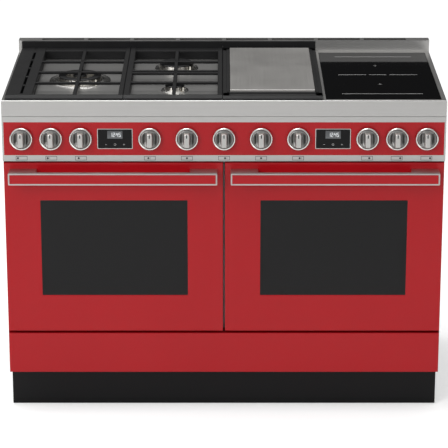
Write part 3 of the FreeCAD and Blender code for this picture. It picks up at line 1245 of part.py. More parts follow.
doc.recompute()
for item in doc.Objects:
    if {"Invalid", "Error"} & set(item.State):
        raise RuntimeError(f"{item.Name} failed: {item.State}")
for node in nodes:
    if node.Shape.isNull() or not node.Shape.isValid():
        raise RuntimeError(f"{node.Label} has no valid shape")
os.makedirs("parts", exist_ok=True)
for node in nodes:
    node.Shape.exportStep(f"parts/{node.Label}.step")
    print(f"{node.Label}: {len(node.Shape.Solids)} solids, {node.Shape.Volume / 1000:.1f} cm3")
print(len(nodes), "nodes")
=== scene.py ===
import math

import bmesh
import bpy
import numpy as np
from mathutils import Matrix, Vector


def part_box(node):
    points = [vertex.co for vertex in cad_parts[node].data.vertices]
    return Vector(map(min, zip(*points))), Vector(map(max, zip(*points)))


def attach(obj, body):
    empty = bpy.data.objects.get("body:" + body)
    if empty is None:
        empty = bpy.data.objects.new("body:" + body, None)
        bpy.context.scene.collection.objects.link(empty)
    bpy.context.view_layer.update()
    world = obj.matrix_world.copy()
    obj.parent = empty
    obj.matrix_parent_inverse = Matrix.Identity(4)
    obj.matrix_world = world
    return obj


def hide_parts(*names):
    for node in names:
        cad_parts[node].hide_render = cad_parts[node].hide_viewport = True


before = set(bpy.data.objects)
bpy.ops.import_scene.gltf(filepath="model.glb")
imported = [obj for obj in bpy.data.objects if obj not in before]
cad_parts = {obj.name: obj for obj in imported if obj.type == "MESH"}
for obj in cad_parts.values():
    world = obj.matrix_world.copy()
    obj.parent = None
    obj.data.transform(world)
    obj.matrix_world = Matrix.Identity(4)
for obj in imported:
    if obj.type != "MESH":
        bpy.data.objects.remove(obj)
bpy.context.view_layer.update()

# ---------------------------------------------------------------- camera and studio
# A pale sweep of floor under an even studio sky, with a large soft lamp on each side and one above.
# The camera stands well back and looks down at the front by about eighteen degrees.

AIM = (0.0, 0.0, 0.4645)
CAMERA_DISTANCE, CAMERA_TILT, LENS_MM = 6.43, math.radians(17.9), 181.2

camera_data = bpy.data.cameras.new("camera")
camera_data.lens = LENS_MM
camera = bpy.data.objects.new("camera", camera_data)
camera.location = (AIM[0], AIM[1] - CAMERA_DISTANCE * math.cos(CAMERA_TILT),
                   AIM[2] + CAMERA_DISTANCE * math.sin(CAMERA_TILT))
camera.rotation_euler = (math.pi / 2 - CAMERA_TILT, 0, 0)
bpy.context.scene.collection.objects.link(camera)
bpy.context.scene.camera = camera
bpy.context.scene.view_settings.view_transform = "Standard"


class Wire:
    """One output in a node tree; arithmetic on it adds a Math node."""

    def __init__(self, nodes, socket):
        self.nodes, self.socket = nodes, socket

    def math(self, operation, first, second):
        return self.nodes.node("Math", {"operation": operation}, {0: first, 1: second})

    def __add__(self, other):
        return self.math("ADD", self, other)

    def __sub__(self, other):
        return self.math("SUBTRACT", self, other)

    def __rsub__(self, other):
        return self.math("SUBTRACT", other, self)

    def __mul__(self, other):
        return self.math("MULTIPLY", self, other)

    def __gt__(self, other):
        return self.math("GREATER_THAN", self, other)

    __radd__, __rmul__ = __add__, __mul__


class Nodes:
    """A node tree and one method that adds any node to it."""

    def __init__(self, tree):
        self.tree = tree

    def node(self, kind, settings=None, inputs=None, output=0):
        """Add a node of a kind, with its settings first and then its sockets' values or links."""
        node = self.tree.nodes.new("ShaderNode" + kind)
        for name, setting in (settings or {}).items():
            if name == "stops":
                ramp = node.color_ramp.elements
                ramp[0].position, ramp[0].color = setting[0]
                ramp[1].position, ramp[1].color = setting[-1]
                for place, colour in setting[1:-1]:
                    ramp.new(place).color = colour
            else:
                setattr(node, name, setting)
        for name, wanted in (inputs or {}).items():
            if isinstance(wanted, Wire):
                self.tree.links.new(wanted.socket, node.inputs[name])
            else:
                node.inputs[name].default_value = wanted
        return Wire(self, node.outputs[output])


class Finish(Nodes):
    """A surface being built: its Principled shader, with constant values set on the sockets."""

    def __init__(self, name, **constants):
        self.material = bpy.data.materials.new(name)
        self.material.use_nodes = True
        super().__init__(self.material.node_tree)
        self.shader = self.tree.nodes["Principled BSDF"]
        for socket, size in constants.items():
            self.shader.inputs[socket.replace("_", " ").title().replace("Ior", "IOR")].default_value = size

    def feed(self, socket, wire):
        self.tree.links.new(wire.socket, self.shader.inputs[socket])

    def place(self):
        """The point on the object, in metres."""
        return self.node("TexCoord", output="Object")

    def stretched(self, scale):
        """The point with each axis stretched, for grain that runs one way."""
        return self.node("Mapping", {}, {"Vector": self.place(), "Scale": scale})

    def noise(self, scale, detail=3.0, where=None, rough=0.5):
        return self.node("TexNoise", {}, {"Vector": where or self.place(), "Scale": scale, "Detail": detail,
                                          "Roughness": rough}, output="Fac")

    def bump(self, height, strength, distance=0.001):
        self.feed("Normal", self.node("Bump", {},
                                      {"Height": height, "Strength": strength, "Distance": distance}))

    def mix(self, factor, first, second):
        """A colour between two colours."""
        return self.node("Mix", {"data_type": "RGBA"}, {0: factor, 6: first, 7: second}, output=2)


def paint(red, green, blue):
    """A colour as it is seen, 0 to 255, turned into the linear colour that a shader takes."""
    return tuple((c / 255 / 12.92 if c <= 10 else ((c / 255 + 0.055) / 1.055) ** 2.4)
                 for c in (red, green, blue)) + (1.0,)


world = bpy.data.worlds.new("studio")
bpy.context.scene.world = world
world.use_nodes = True
sky = Nodes(world.node_tree)
view_ray = sky.node("TexCoord", output="Generated")
across = sky.node("SeparateXYZ", {}, {0: view_ray}, output="X")
ahead = sky.node("SeparateXYZ", {}, {0: view_ray}, output="Y")
above = sky.node("SeparateXYZ", {}, {0: view_ray}, output="Z")
overhead = sky.node("MapRange", {}, {"Value": above, "From Min": 0.3, "From Max": 0.9, "To Min": 0.0,
                                     "To Max": 0.9})
low_front = sky.node("MapRange", {}, {"Value": ahead, "From Min": 0.1, "From Max": -0.7, "To Min": 0.02,
                                      "To Max": 0.5})
leftward = sky.node("MapRange", {}, {"Value": across, "From Min": -0.7, "From Max": 0.7, "To Min": 1.5,
                                     "To Max": 0.6})
seen = sky.node("LightPath", output="Is Camera Ray")
strength = seen + (1 - seen) * (overhead + low_front) * leftward
sky_shader = sky.tree.nodes["Background"]
sky.tree.links.new(strength.socket, sky_shader.inputs["Strength"])
sky_shader.inputs["Color"].default_value = (1.0, 1.0, 1.0, 1.0)

for lamp_name, spot, size, power, target in (
        ("key_lamp", (-2.6, -3.6, 2.4), 1.8, 64, (0, 0, 0.5)),
        ("fill_lamp", (2.6, -3.8, 1.6), 2.2, 17, (0, 0, 0.4)),
        ("top_lamp", (-0.3, 0.1, 3.0), 1.6, 30, (0, 0, 0.9))):
    lamp_data = bpy.data.lights.new(lamp_name, "AREA")
    lamp_data.shape, lamp_data.size, lamp_data.energy = "DISK", size, power
    lamp = bpy.data.objects.new(lamp_name, lamp_data)
    lamp.location = spot
    towards = np.array(target) - np.array(spot)
    lamp.rotation_euler = (math.acos(-towards[2] / np.linalg.norm(towards)), 0,
                           math.atan2(towards[1], towards[0]) - math.pi / 2)
    bpy.context.scene.collection.objects.link(lamp)

floor_mesh = bpy.data.meshes.new("floor")
floor_mesh.from_pydata([(-30, -30, 0), (30, -30, 0), (30, 30, 0), (-30, 30, 0)], [], [(0, 1, 2, 3)])
floor = bpy.data.objects.new("floor", floor_mesh)
bpy.context.scene.collection.objects.link(floor)
floor_finish = Finish("floor_paint", base_color=(0.86, 0.86, 0.86, 1.0), roughness=0.9,
                      specular_ior_level=0.0)
lift = floor_finish.node("LightPath", output="Is Camera Ray") * 0.38
floor_finish.feed("Emission Color", floor_finish.mix(lift, (0, 0, 0, 1), (1, 1, 1, 1)))
floor_finish.shader.inputs["Emission Strength"].default_value = 1.0
floor_mesh.materials.append(floor_finish.material)

# ---------------------------------------------------------------- brushed steel sheet
# The hob's pressed top, the upstand behind it and the channel round the control panel are bare stainless
# sheet. Rolling and brushing leave fine grain along X, so the shine smears from front to back.


def brushed_steel(name, colour, rough, grain=(3.0, 900.0, 900.0), strength=0.12, metallic=1.0):
    """Bare steel: long grain lines in roughness, tone and bump, with faint broad clouding."""
    steel = Finish(name, metallic=metallic, base_color=colour)
    lines = steel.noise(1.0, 4.0, steel.stretched(grain))
    cloud = steel.noise(4.0, 2.0)
    steel.feed("Roughness", rough - 0.09 + lines * 0.12 + cloud * 0.07)
    dark = tuple(c * 0.86 for c in colour[:3]) + (1.0,)
    steel.feed("Base Color", steel.mix(lines * 0.6 + cloud * 0.4, dark, colour))
    steel.bump(lines, strength, 0.0004)
    return steel.material


def dress(material, *names):
    """Give CAD nodes a finish."""
    for name in names:
        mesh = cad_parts[name].data
        mesh.materials.clear()
        mesh.materials.append(material)


STEEL = brushed_steel("brushed_steel", paint(196, 195, 193), 0.34)
dress(STEEL, "hob_top", "hob_upstand", "panel_carrier")

# ---------------------------------------------------------------- burners
# Each burner is a turned dish that lies on the hob, an alloy crown with flame ports and a black enamelled
# cap. The left one is a double crown: a ring with a second small burner in its middle.


def skin(loops, ring=False):
    """Faces between neighbouring loops of equal length; the ends are capped, or joined when ring is set."""
    count, size = len(loops), len(loops[0])
    rows = np.arange(count if ring else count - 1)
    here = (rows[:, None] * size + np.arange(size)).ravel()
    beside = (rows[:, None] * size + (np.arange(size) + 1) % size).ravel()
    step = size * count
    faces = np.stack([here, beside, (beside + size) % step, (here + size) % step], 1).tolist()
    if not ring:
        faces += [list(range(size))[::-1], list(range(step - size, step))]
    return np.concatenate(loops), faces


def turned(profile, centre, steps=96, axis="z"):
    """A closed profile of (radius, height) pairs carried round an axis: x = r cos a, y = r sin a.

    On axis y the height runs towards the user, along minus Y."""
    angles = np.linspace(0, 2 * math.pi, steps, endpoint=False)
    loops = []
    for angle in angles:
        r, h = np.array(profile, float).T
        if axis == "z":
            points = np.stack([r * math.cos(angle), r * math.sin(angle), h], 1)
        else:
            points = np.stack([r * math.cos(angle), -h, r * math.sin(angle)], 1)
        loops.append(points + np.array(centre))
    return skin(loops, ring=True)


SMOOTH_BELOW = math.radians(35)


def piece(name, parts, materials, body, replaces=()):
    """One object from (points, faces) parts, each with its own finish, shaded smooth below an angle."""
    points, faces, finish = [], [], []
    for number, (part_points, part_faces) in enumerate(parts):
        offset = sum(len(p) for p in points)
        points.append(part_points)
        faces += [[corner + offset for corner in face] for face in part_faces]
        finish += [min(number, len(materials) - 1)] * len(part_faces)
    mesh = bpy.data.meshes.new(name)
    mesh.from_pydata(np.concatenate(points).tolist(), [], faces)
    for material in materials:
        mesh.materials.append(material)
    mesh.polygons.foreach_set("material_index", finish)
    tidy = bmesh.new()
    tidy.from_mesh(mesh)
    bmesh.ops.remove_doubles(tidy, verts=tidy.verts, dist=1e-7)
    bmesh.ops.recalc_face_normals(tidy, faces=tidy.faces)
    tidy.to_mesh(mesh)
    tidy.free()
    mesh.polygons.foreach_set("use_smooth", [True] * len(mesh.polygons))
    mesh.set_sharp_from_angle(angle=SMOOTH_BELOW)
    item = bpy.data.objects.new(name, mesh)
    bpy.context.scene.collection.objects.link(item)
    even = item.modifiers.new("even_shading", "WEIGHTED_NORMAL")
    even.keep_sharp = True
    even.weight = 100
    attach(item, body)
    if replaces:
        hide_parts(*replaces)
    return item


def joined(parts):
    """Several parts as one."""
    points, faces, offset = [], [], 0
    for part_points, part_faces in parts:
        points.append(part_points)
        faces += [[corner + offset for corner in face] for face in part_faces]
        offset += len(part_points)
    return np.concatenate(points), faces


base_low, base_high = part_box("burner_bases")
cap_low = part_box("burner_caps")[0]
hob_low, hob_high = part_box("hob_top")
FRONT = hob_low.y
HOB = hob_high.z
WELL = base_high.z - 0.003
LARGE_DISH, LARGE_CROWN = 0.086, 0.061
LEFT_X = base_low.x + LARGE_DISH
RIGHT_X = LEFT_X + 0.267
# x and y of each burner, then the radii of its dish and its crown
DISHES = {"left": (LEFT_X, FRONT + 0.275, LARGE_DISH, LARGE_CROWN),
          "rear": (RIGHT_X, FRONT + 0.418, 0.062, 0.050),
          "front": (RIGHT_X, FRONT + 0.165, 0.038, 0.028)}
STEM_RADIUS, STEM_FOOT = 0.015, -0.036
BURNER_AXIS, CAP_AXIS, OUTER_CAP_HOLE = 0.004, 0.0005, 0.040


def burner_alloy():
    """Machined alloy darkened by heat: a cloudy tone with varied roughness and a fine grainy bump."""
    alloy = Finish("burner_alloy", metallic=1.0)
    cloud = alloy.noise(60.0, 4.0)
    alloy.feed("Base Color", alloy.mix(cloud, paint(150, 146, 140), paint(205, 202, 196)))
    alloy.feed("Roughness", 0.2 + cloud * 0.22)
    alloy.bump(alloy.noise(700.0, 2.0), 0.15, 0.0003)
    return alloy.material


def cap_enamel():
    """Black matt enamel on a cast cap: a fine grainy bump and slightly worn tone."""
    enamel = Finish("cap_enamel", specular_ior_level=0.25)
    grain = enamel.noise(900.0, 3.0)
    cloud = enamel.noise(35.0, 3.0)
    enamel.feed("Base Color", enamel.mix(cloud, paint(9, 9, 10), paint(19, 19, 20)))
    enamel.feed("Roughness", 0.34 + cloud * 0.18)
    enamel.bump(grain, 0.25, 0.0004)
    return enamel.material


ALLOY, CAP = burner_alloy(), cap_enamel()
POLISHED = brushed_steel("polished_dish", paint(226, 224, 220), 0.16, grain=(40.0, 40.0, 40.0),
                         strength=0.03)
dress(ALLOY, "burner_crowns")

dishes, caps = [], []
for x, y, dish, crown in DISHES.values():
    dishes.append(turned([(BURNER_AXIS, STEM_FOOT), (STEM_RADIUS, STEM_FOOT), (STEM_RADIUS, -0.0002),
                          (dish - 0.001, -0.0002), (dish, 0.0006),
                          (dish - 0.0012, 0.0022), (dish - 0.004, 0.0026), (dish * 0.87, 0.0014),
                          (dish * 0.8, 0.0012), (dish * 0.77, 0.0026), (crown + 0.001, 0.003),
                          (BURNER_AXIS, 0.003)],
                         (x, y, WELL)))
    edge = crown - 0.0015
    hole = OUTER_CAP_HOLE if crown == LARGE_CROWN else CAP_AXIS
    caps.append(turned([(hole, 0.0), (edge - 0.001, 0.0), (edge, 0.0009), (edge, 0.0022),
                        (edge - 0.0012, 0.0033),
                        (edge - 0.004, 0.0039), (hole + 0.003, 0.004), (hole, 0.0034)], (x, y, cap_low.z)))
x, y = DISHES["left"][:2]
caps.append(turned([(CAP_AXIS, 0.0), (0.018, 0.0), (0.019, 0.0008), (0.019, 0.0022), (0.0178, 0.0034),
                    (0.015, 0.004), (CAP_AXIS, 0.004)], (x, y, cap_low.z)))
piece("burner_dishes", [joined(dishes)], [POLISHED], "chassis", ["burner_bases"])
piece("burner_cap_set", [joined(caps)], [CAP], "chassis", ["burner_caps"])

ceramic = Finish("ceramic_white", roughness=0.25, coat_weight=0.4)
ceramic.feed("Base Color", ceramic.mix(ceramic.noise(400.0), paint(214, 208, 196), paint(240, 237, 228)))
dress(ceramic.material, "spark_electrodes")

# ---------------------------------------------------------------- pan supports and griddle
# Two enamelled iron castings lie in the hob's well: broad bands round a window, slim fingers over the
# burners, a sloping front edge and a riser along the back. The griddle's frame is cast to match.


def rounded_rectangle(x, y, radius, steps=3):
    """Corners of a rectangle as quarter circles: corner centre plus radius times (cos a, sin a)."""
    turns = np.radians(np.linspace(0, 90, steps + 1))
    corners = [(x[1] - radius, y[1] - radius), (x[0] + radius, y[1] - radius),
               (x[0] + radius, y[0] + radius), (x[1] - radius, y[0] + radius)]
    return np.concatenate([np.stack([cx + radius * np.cos(turns + quarter * math.pi / 2),
                                     cy + radius * np.sin(turns + quarter * math.pi / 2)], 1)
                           for quarter, (cx, cy) in enumerate(corners)])


# the two axes of an outline, then the axis that its loops follow
AXES = {"z": (0, 1, 2), "y": (0, 2, 1)}


def rounded_block(x, y, z, radius, axis="z", steps=3):
    """A block whose edges are quarter circles: loops along one axis, drawn in by radius (1 - sin a)."""
    spans = (x, y, z)
    first, second, along = AXES[axis]
    arc = np.linspace(0, math.pi / 2, steps + 1)
    rises = np.concatenate([spans[along][0] + radius * (1 - np.cos(arc)),
                            spans[along][1] - radius * (1 - np.cos(arc[::-1]))])
    insets = radius * (1 - np.sin(np.concatenate([arc, arc[::-1]])))
    loops = []
    for rise, inset in zip(rises, insets):
        flat = rounded_rectangle((spans[first][0] + inset, spans[first][1] - inset),
                                 (spans[second][0] + inset, spans[second][1] - inset),
                                 max(radius - inset, radius * 0.05), steps)
        loop = np.empty((len(flat), 3))
        loop[:, first], loop[:, second], loop[:, along] = flat[:, 0], flat[:, 1], rise
        loops.append(loop)
    return skin(loops)


def rounded_prism(outline, x, radius, steps=3):
    """A convex outline in Y and Z, carried along X, with every corner of the outline rounded by an arc."""
    outline = np.array(outline, float)
    corners = []
    for before, corner, after in zip(np.roll(outline, 1, 0), outline, np.roll(outline, -1, 0)):
        into = (before - corner) / np.linalg.norm(before - corner)
        out = (after - corner) / np.linalg.norm(after - corner)
        for share in np.linspace(0, 1, steps + 1):
            corners.append(corner + radius * ((1 - share) ** 2 * into + share ** 2 * out))
    corners = np.array(corners)
    middle = corners.mean(0)
    loops = []
    for rise, inset in ((x[0], 0.7), (x[0] + radius * 0.3, 0.2), (x[0] + radius, 0), (x[1] - radius, 0),
                        (x[1] - radius * 0.3, 0.2), (x[1], 0.7)):
        towards = middle - corners
        pulled = corners + towards / np.linalg.norm(towards, axis=1)[:, None] * radius * inset
        loops.append(np.column_stack([np.full(len(corners), rise), pulled]))
    return skin(loops)


def cast_iron():
    """Sand-cast iron under matt black enamel: pitted bump, cloudy tone, paler where pans rub the top."""
    iron = Finish("cast_iron", specular_ior_level=0.2)
    pits = iron.noise(420.0, 5.0, rough=0.65)
    cloud = iron.noise(22.0, 3.0)
    up = iron.node("SeparateXYZ", {}, {0: iron.node("NewGeometry", output="Normal")}, output="Z")
    worn = iron.node("MapRange", {}, {"Value": up * (0.55 + pits * 0.9), "From Min": 0.85,
                                      "From Max": 1.15})
    tone = iron.mix(cloud, paint(11, 11, 12), paint(21, 21, 22))
    iron.feed("Base Color", iron.mix(worn * 0.25, tone, paint(52, 51, 50)))
    iron.feed("Roughness", 0.42 + cloud * 0.16)
    iron.bump(pits, 0.35, 0.0006)
    return iron.material


IRON = cast_iron()
GRATE_TOP = HOB + 0.012
RISER_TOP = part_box("pan_support_left")[1].z
FRONT_BAR, FRONT_SLOPE, REAR_BAND, RISER_THICK = 0.017, 0.012, 0.042, 0.007
FINGER, FINGER_LOW, OVERRUN = 0.010, HOB + 0.005, 0.004
SLOT_WIDE, SLOT_LONG, SLOT_BRIDGE = 0.006, 0.086, 0.010


def casting(node, left_band, right_band, burner_x, fingers, band_slots=0):
    """The bars of one pan support, from the CAD box of its node."""
    low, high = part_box(node)
    x0, x1, y0, y1, z0 = low.x, high.x, low.y, high.y, low.z
    near, far = y0 + FRONT_BAR, y1 - REAR_BAND
    parts = [rounded_prism([(y0, z0), (y0 + FRONT_BAR, z0), (y0 + FRONT_BAR, GRATE_TOP),
                            (y0 + FRONT_SLOPE, GRATE_TOP),
                            (y0, HOB + 0.005)], (x0, x1), 0.0016),
             rounded_prism([(far, z0), (y1, z0), (y1, GRATE_TOP - 0.001), (far, GRATE_TOP - 0.001)],
                           (x0, x1), 0.0015),
             rounded_prism([(y1 - RISER_THICK, z0), (y1, z0), (y1, RISER_TOP),
                            (y1 - RISER_THICK * 0.8, RISER_TOP)],
                           (x0, x1), 0.0015),
             rounded_block((x1 - right_band, x1), (y0 + FRONT_SLOPE, y1), (z0, GRATE_TOP), 0.0018)]
    if band_slots:
        slot_x = x0 + left_band * 0.55
        parts += [rounded_block((x0, slot_x), (y0 + FRONT_SLOPE, y1), (z0, GRATE_TOP), 0.0018),
                  rounded_block((slot_x + SLOT_WIDE, x0 + left_band), (y0 + FRONT_SLOPE, y1),
                                (z0, GRATE_TOP), 0.0018)]
        start = near + 0.013
        for step in range(band_slots + 1):
            edge = start + step * (SLOT_LONG + SLOT_BRIDGE)
            parts.append(rounded_block((slot_x - 0.003, slot_x + SLOT_WIDE + 0.003),
                                       (edge - SLOT_BRIDGE if step else near - OVERRUN,
                                        edge if step < band_slots else far + 0.01),
                                       (z0, GRATE_TOP - 0.0006), 0.0012))
    else:
        parts.append(rounded_block((x0, x0 + left_band), (y0 + FRONT_SLOPE, y1), (z0, GRATE_TOP), 0.0018))
    parts.append(rounded_block((burner_x - FINGER / 2, burner_x + FINGER / 2),
                               (near - OVERRUN, far + OVERRUN),
                               (FINGER_LOW, GRATE_TOP), 0.0016))
    for depth in fingers:
        middle = FRONT + depth
        parts.append(rounded_block((x0 + left_band - OVERRUN, x1 - right_band + OVERRUN),
                                   (middle - FINGER / 2, middle + FINGER / 2), (FINGER_LOW, GRATE_TOP),
                                   0.0016))
    return joined(parts)


left_x, middle_x = DISHES["left"][0], DISHES["rear"][0]
piece("left_pan_support", [casting("pan_support_left", 0.072, 0.013, left_x, (0.153, 0.273, 0.396), 5)],
      [IRON],
      "chassis", ["pan_support_left"])
piece("middle_pan_support",
      [casting("pan_support_middle", 0.016, 0.013, middle_x, (0.156, 0.262, 0.286, 0.396))],
      [IRON], "chassis", ["pan_support_middle"])

frame_low, frame_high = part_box("griddle_frame")
plate_low, plate_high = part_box("griddle_plate")


def griddle_casting():
    """Front, side and rear bars of the frame, then a raised inner lip round the plate."""
    x0, x1, y0, y1, z0 = frame_low.x, frame_high.x, frame_low.y, frame_high.y, frame_low.z
    rim, lip = HOB + 0.010, HOB + 0.0125
    inner = 0.009
    parts = [rounded_prism([(y0, z0), (plate_low.y - 0.0004, z0), (plate_low.y - 0.0004, rim),
                            (y0 + 0.010, rim),
                            (y0, HOB + 0.004)], (x0, x1), 0.0016),
             rounded_block((x0, plate_low.x - 0.0003), (y0 + 0.010, y1), (z0, rim), 0.0016),
             rounded_block((plate_high.x + 0.0003, x1), (y0 + 0.010, y1), (z0, rim), 0.0016),
             rounded_block((x0, x1), (plate_high.y + 0.0003, y1), (z0, rim), 0.0016),
             rounded_prism([(y1 - RISER_THICK, z0), (y1, z0), (y1, RISER_TOP),
                            (y1 - RISER_THICK * 0.8, RISER_TOP)],
                           (x0, x1), 0.0015)]
    for x, y in (((plate_low.x - inner, plate_low.x - 0.0003), (plate_low.y - inner, plate_high.y + inner)),
                 ((plate_high.x + 0.0003, plate_high.x + inner),
                  (plate_low.y - inner, plate_high.y + inner)),
                 ((plate_low.x - inner, plate_high.x + inner), (plate_low.y - inner, plate_low.y - 0.0003)),
                 ((plate_low.x - inner, plate_high.x + inner),
                  (plate_high.y + 0.0003, plate_high.y + inner))):
        parts.append(rounded_block(x, y, (rim - 0.004, lip), 0.0012))
    return joined(parts)


def griddle_steel():
    """Thick cooking steel brushed from front to back, with faint cloudy heat marks."""
    steel = Finish("griddle_steel", metallic=1.0)
    lines = steel.noise(1.0, 4.0, steel.stretched((900.0, 4.0, 900.0)))
    cloud = steel.noise(7.0, 3.0)
    steel.feed("Base Color", steel.mix(lines * 0.5 + cloud * 0.5, paint(158, 156, 153),
                                       paint(188, 186, 183)))
    steel.feed("Roughness", 0.36 + lines * 0.1 + cloud * 0.1)
    steel.bump(lines, 0.1, 0.0004)
    return steel.material


piece("griddle_casting", [griddle_casting()], [IRON], "chassis", ["griddle_frame"])
piece("griddle_slab", [rounded_block((plate_low.x, plate_high.x), (plate_low.y, plate_high.y),
                                     (plate_low.z, plate_high.z), 0.0018, steps=4)],
      [griddle_steel()], "chassis", ["griddle_plate"])

# ---------------------------------------------------------------- induction glass
# A slab of black ceramic glass lies flush in its own rebate. Thin pale lines printed on it mark the two
# cooking zones.


def black_glass(name, tone=(8, 8, 9)):
    """Polished black glass with a trace of dust in its gloss."""
    glass = Finish(name, base_color=paint(*tone), specular_ior_level=0.2)
    glass.feed("Roughness", 0.03 + glass.noise(14.0, 4.0) * 0.05)
    return glass.material


def printed(name, tone):
    """Screen print fired on a surface."""
    ink = Finish(name, roughness=0.5)
    grain = ink.noise(2500.0, 2.0)
    ink.feed("Base Color", ink.mix(grain, paint(*(int(c * 0.9) for c in tone)), paint(*tone)))
    return ink.material


BLACK_GLASS = black_glass("black_glass")
PALE_PRINT = printed("pale_print", (176, 176, 174))
glass_low, glass_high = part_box("induction_glass")
piece("ceramic_glass", [rounded_block((glass_low.x, glass_high.x), (glass_low.y, glass_high.y),
                                      (glass_low.z, glass_high.z), 0.0012)],
      [BLACK_GLASS], "chassis", ["induction_glass"])
glass_x = (glass_low.x + glass_high.x) / 2
marks = []
for depth, spans in ((0.073, [(-0.11, 0.11)]), (0.495, [(-0.11, 0.11)]),
                     (0.284, [(-0.11, -0.032), (-0.024, 0.025), (0.034, 0.111)])):
    for left, right in spans:
        marks.append(rounded_block((glass_x + left, glass_x + right),
                                   (FRONT + depth - 0.001, FRONT + depth + 0.001),
                                   (glass_high.z - 0.0001, glass_high.z + 0.00012), 0.0001, steps=1))
for depth in (0.177, 0.388):
    for wide, deep in ((0.005, 0.0005), (0.0005, 0.005)):
        marks.append(rounded_block((glass_x - wide, glass_x + wide),
                                   (FRONT + depth - deep, FRONT + depth + deep),
                                   (glass_high.z - 0.0001, glass_high.z + 0.0001), 0.0001, steps=1))
piece("zone_lines", [joined(marks)], [PALE_PRINT], "chassis")

# ---------------------------------------------------------------- control panel
# An enamelled steel panel lies flush in the steel channel. Under each knob a small outlined field with
# plain geometric marks is printed on the lower strip of the channel.


def enamel(name, light, dark, coat=0.12, peel=0.03, specular=0.22):
    """Fired gloss enamel: deep even colour, slight orange peel in the bump and a clear top."""
    coatwork = Finish(name, coat_weight=coat, coat_roughness=0.03, specular_ior_level=specular)
    cloud = coatwork.noise(3.0, 2.0)
    coatwork.feed("Base Color", coatwork.mix(cloud, paint(*dark), paint(*light)))
    coatwork.feed("Roughness", 0.16 + coatwork.noise(25.0, 2.0) * 0.08)
    coatwork.bump(coatwork.noise(260.0, 2.0), peel, 0.0006)
    return coatwork.material


RED = enamel("red_enamel", (164, 17, 25), (155, 15, 23))
dress(RED, "control_panel", "door_panel_left", "door_panel_right", "drawer_front")

panel_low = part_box("control_panel")[0]
carrier_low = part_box("panel_carrier")[0]
KNOB_Z = panel_low.z + 0.047
KNOBS = {name: (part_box(f"knob_{name}")[0].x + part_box(f"knob_{name}")[1].x) / 2
         for name in (n[5:] for n in sorted(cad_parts) if n.startswith("knob_"))}
DARK_PRINT = printed("dark_print", (22, 22, 24))


def printed_strip(x, z, y=FRONT, lift=0.00015):
    """A flat printed rectangle on a face that looks towards the user."""
    return rounded_block(x, (y - lift, y + lift), z, 0.0001, axis="y", steps=1)


def printed_dot(x, z, radius, y=FRONT):
    return turned([(0.00002, 0.0), (radius, 0.0), (radius, 0.00015), (0.00002, 0.00015)], (x, y, z), 20,
                  "y")


# half the width and height of a printed field and its line, then each dot's distance from its middle
FIELD_WIDE, FIELD_TALL, FIELD_LINE = 0.0155, 0.0058, 0.0011
DOT_SHIFTS = (-0.010, -0.0095, -0.006, -0.004, 0.0, 0.003, 0.0, 0.004, 0.006, 0.0095, 0.010)
TICK_RADIUS, TICK_STEP, TICK_END = 0.0365, 30, 150
strip_z = (carrier_low.z + panel_low.z) / 2
legends = []
for number, x in enumerate(sorted(KNOBS.values())):
    wide, tall, line = FIELD_WIDE, FIELD_TALL, FIELD_LINE
    legends += [printed_strip((x - wide, x + wide), (strip_z + tall - line, strip_z + tall)),
                printed_strip((x - wide, x + wide), (strip_z - tall, strip_z - tall + line)),
                printed_strip((x - wide, x - wide + line), (strip_z - tall, strip_z + tall)),
                printed_strip((x + wide - line, x + wide), (strip_z - tall, strip_z + tall))]
    dot_x = x + DOT_SHIFTS[number]
    legends.append(printed_dot(dot_x, strip_z, 0.0028))
    if number % 2:
        legends.append(printed_strip((dot_x + 0.005, dot_x + 0.0056), (strip_z - 0.003, strip_z + 0.003)))
piece("strip_legends", [joined(legends)], [DARK_PRINT], "chassis")

ticks = []
for name, x in KNOBS.items():
    for turn in range(-TICK_END, TICK_END + 1, TICK_STEP):
        if turn == 0:
            continue
        angle = math.radians(90 - turn)
        ticks.append(printed_dot(x + TICK_RADIUS * math.cos(angle), KNOB_Z + TICK_RADIUS * math.sin(angle),
                                 0.0007))
    ticks.append(printed_dot(x, KNOB_Z + 0.0372, 0.0013))
piece("knob_ticks", [joined(ticks)], [DARK_PRINT], "chassis")

# ---------------------------------------------------------------- clocks
# Two black glass clocks in thin steel bezels, each with a grey screen, four plain digits and three touch
# marks. The screen's grey is painted shading: paler at the bottom and darker towards the top.

SCREEN = Finish("clock_screen", roughness=0.4)
down = SCREEN.node("SeparateXYZ", {}, {0: SCREEN.place()}, output="Z")
# Painted shading on the screen: its grey runs from paler at the bottom to darker at the top.
shade = SCREEN.node("MapRange", {}, {"Value": down, "From Min": KNOB_Z, "From Max": KNOB_Z + 0.026})
SCREEN.feed("Base Color", SCREEN.mix(shade, paint(92, 94, 96), paint(58, 60, 62)))
DIGITS = Finish("clock_digits", roughness=0.5, emission_strength=0.25, emission_color=paint(235, 238, 240))
DIGITS.feed("Base Color", DIGITS.mix(DIGITS.noise(900.0), paint(222, 226, 228), paint(240, 243, 245)))

SEGMENTS = {"1": "bc", "2": "abged", "4": "fgbc", "5": "afgcd"}


def digit(sign, x, z, wide=0.0052, tall=0.0112, thick=0.0011, y=0.0):
    """A seven-segment digit with its lower left corner at x and z."""
    half = tall / 2
    places = {"a": ((0, wide), (tall - thick, tall)), "b": ((wide - thick, wide), (half, tall)),
              "c": ((wide - thick, wide), (0, half)), "d": ((0, wide), (0, thick)),
              "e": ((0, thick), (0, half)), "f": ((0, thick), (half, tall)),
              "g": ((0, wide), (half - thick / 2, half + thick / 2))}
    return [printed_strip((x + px[0], x + px[1]), (z + pz[0], z + pz[1]), y) for px, pz in
            (places[letter] for letter in SEGMENTS[sign])]


